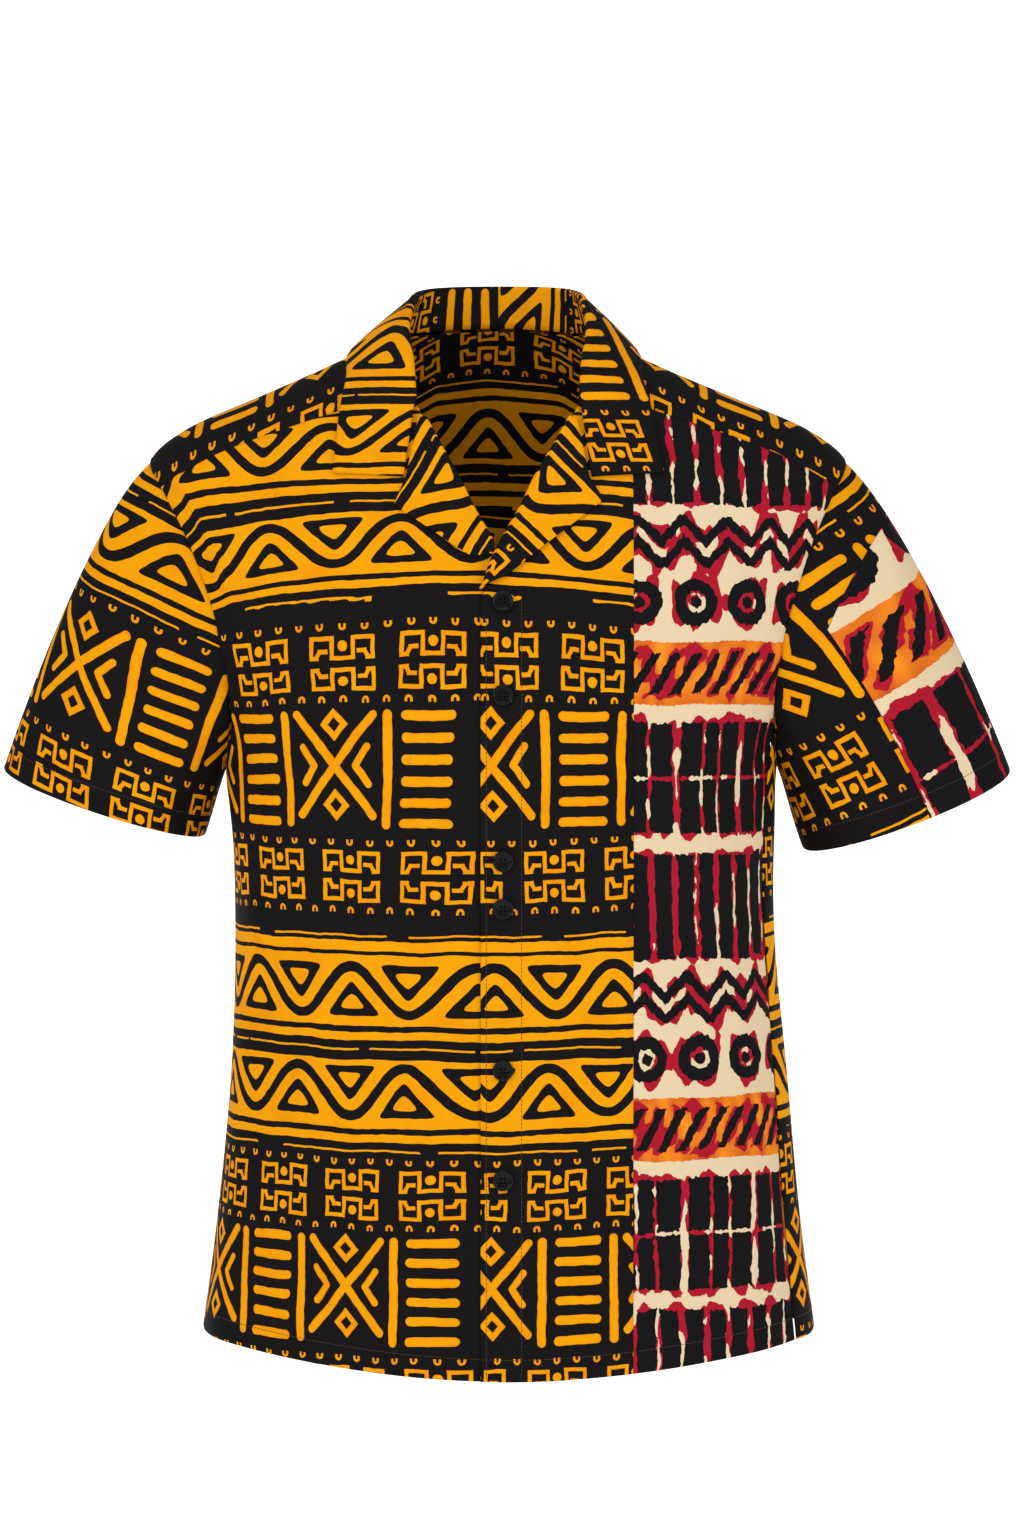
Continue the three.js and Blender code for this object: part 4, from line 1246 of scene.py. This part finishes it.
def thread(name, rows):
    """One mesh of all the stitches. Each is four rings of six points round its line."""
    centre, along, out = (part[:, None, None] for part in np.moveaxis(np.concatenate(rows), 1, 0))
    turn = (np.arange(6) * math.pi / 3)[:, None]
    place = (np.array([-1, -0.72, 0.72, 1]) * stitch_length / 2)[:, None, None]
    radius = (np.array([0.35, 1, 1, 0.35]) * thread_radius)[:, None, None]
    ring = np.cross(along, out) * np.cos(turn) + out * np.sin(turn)
    points = (centre + along * place + ring * radius).reshape(-1, 3)
    sides, ends = quads(4, 6, around=True)[:, (0, 3, 2, 1)], np.stack([np.arange(6), 23 - np.arange(6)])
    first = (np.arange(len(centre)) * 24)[:, None, None]
    sides, ends = (first + sides).reshape(-1, 4), (first + ends).reshape(-1, 6)
    mesh = bpy.data.meshes.new(name)
    mesh.from_pydata(points, [], [*sides.tolist(), *ends.tolist()])
    mesh.shade_smooth()
    mesh.materials.append(shaded("dark_thread", Base_Color=(0.030, 0.014, 0.006, 1), Roughness=0.7)[0])
    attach(added(name, mesh), "root")


def body_row(name, angle, z):
    """A row of stitches on a body panel, found from outside along the body's normals."""
    return stitch_row(name, raised(angle, z, 0.03), -body_normal(angle, z))


def sleeve_row(name, sleeve):
    """A sleeve's hem line, found from outside towards the sleeve's axis."""
    steps = np.linspace(-under_steps, under_steps, 721)
    ring = sleeve_point(sleeve, steps, np.ones(721)) - sleeve_turn_up * sleeve_ways(sleeve)[0]
    away = unit(from_axis(sleeve, ring))
    return stitch_row(name, ring + away * 0.02, -away)


def topstitching():
    turn = np.linspace(-math.pi, math.pi, 1601)
    rows = []
    for name in ("right_front", "left_front_inner", "left_front_panel", "left_front_side", "back_panel"):
        angle = turn + math.pi * (name == "back_panel")
        rows.append(body_row(name, angle, hem_height(angle) + hem_turn_up))
    for x, top in placket_lines:
        z = np.linspace(hem_height(0.0) + 0.002, top, 500)
        rows.append(body_row("left_front_inner", angle_at(x, z), z))
    for name in ("sleeve_right_cloth", "sleeve_left_cloth", "sleeve_left_patch"):
        rows.append(sleeve_row(name, name.split("_")[1]))
    thread("topstitching", rows)


topstitching()


# ---- Buttons --------------------
# Six glossy black buttons of moulded plastic, 15 mm across, with a raised rim round a dished middle and
# four holes, set just off the left front.
button_heights = (-0.187, -0.254, -0.373, -0.407, -0.523, -0.602)
button_radius, button_thick, button_dish, button_x, button_gap = 0.0075, 0.003, 0.0011, 0.001, 0.0005
hole_radius, hole_place, hole_depth = 0.00075, 0.0015, 0.0012
rim_half, rim_rise = 0.0011, 0.0008
button_black = shaded(
    "button_black", Base_Color=(0.003, 0.003, 0.0035, 1), Specular_IOR_Level=0.15, Roughness=0.14,
)[0]


def button_form():
    """A turned disc: its profile of radius and height is carried round, and the holes sink its top."""
    rim_turn = np.linspace(0, math.pi, 9)
    rim_middle, rim_foot = button_radius - rim_half, button_thick - rim_rise
    rim = packed(rim_middle + rim_half * np.cos(rim_turn), rim_foot + rim_rise * np.sin(rim_turn))
    dish = np.linspace(rim_middle - rim_half - 0.0003, 0.0, 26)
    floor = button_thick - button_dish - 0.0002 * (1 - (dish / 0.005) ** 2)
    under = np.array([(0, 0), (button_radius, 0), (button_radius, 0.0005), (button_radius, 0.0012)])
    under[1:3, 0] -= (0.0009, 0.0002)
    profile = np.vstack([under, rim, packed(dish, floor)])
    turn = np.linspace(0, 2 * math.pi, 65)[:-1]
    radius, height = profile[:, :1], profile[:, 1:]
    points = packed(radius * np.cos(turn), radius * np.sin(turn), height + 0 * turn)
    top = np.arange(len(profile)) >= len(under) + len(rim)
    for hole in ((1, 1), (1, -1), (-1, 1), (-1, -1)):
        away = np.linalg.norm(points[..., :2] - np.multiply(hole, hole_place), axis=-1)
        points[..., 2] -= hole_depth * smooth(1.6 - away / hole_radius * 1.1) * top[:, None]
    return points


def button(name, node, z):
    points = button_form()
    angle = angle_at(button_x, z)
    normal = body_normal(angle, z)
    across = unit(np.cross((0, 0, 1), normal))
    ways = np.stack([across, np.cross(normal, across), normal])
    place = raised(angle, z, lap["lift"] + button_gap)
    mesh = bpy.data.meshes.new(name)
    mesh.from_pydata((place + points @ ways).reshape(-1, 3), [], quads(*points.shape[:2], around=True))
    mesh.materials.append(button_black)
    piece = added(name, mesh)
    body = bmesh.new()
    body.from_mesh(mesh)
    bmesh.ops.remove_doubles(body, verts=body.verts, dist=1e-6)
    bmesh.ops.recalc_face_normals(body, faces=body.faces)
    body.to_mesh(mesh)
    body.free()
    mesh.shade_smooth()
    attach(piece, "root")
    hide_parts(node)


for number, height in enumerate(button_heights, 1):
    button(f"shirt_button_{number}", f"button_{number}", height)
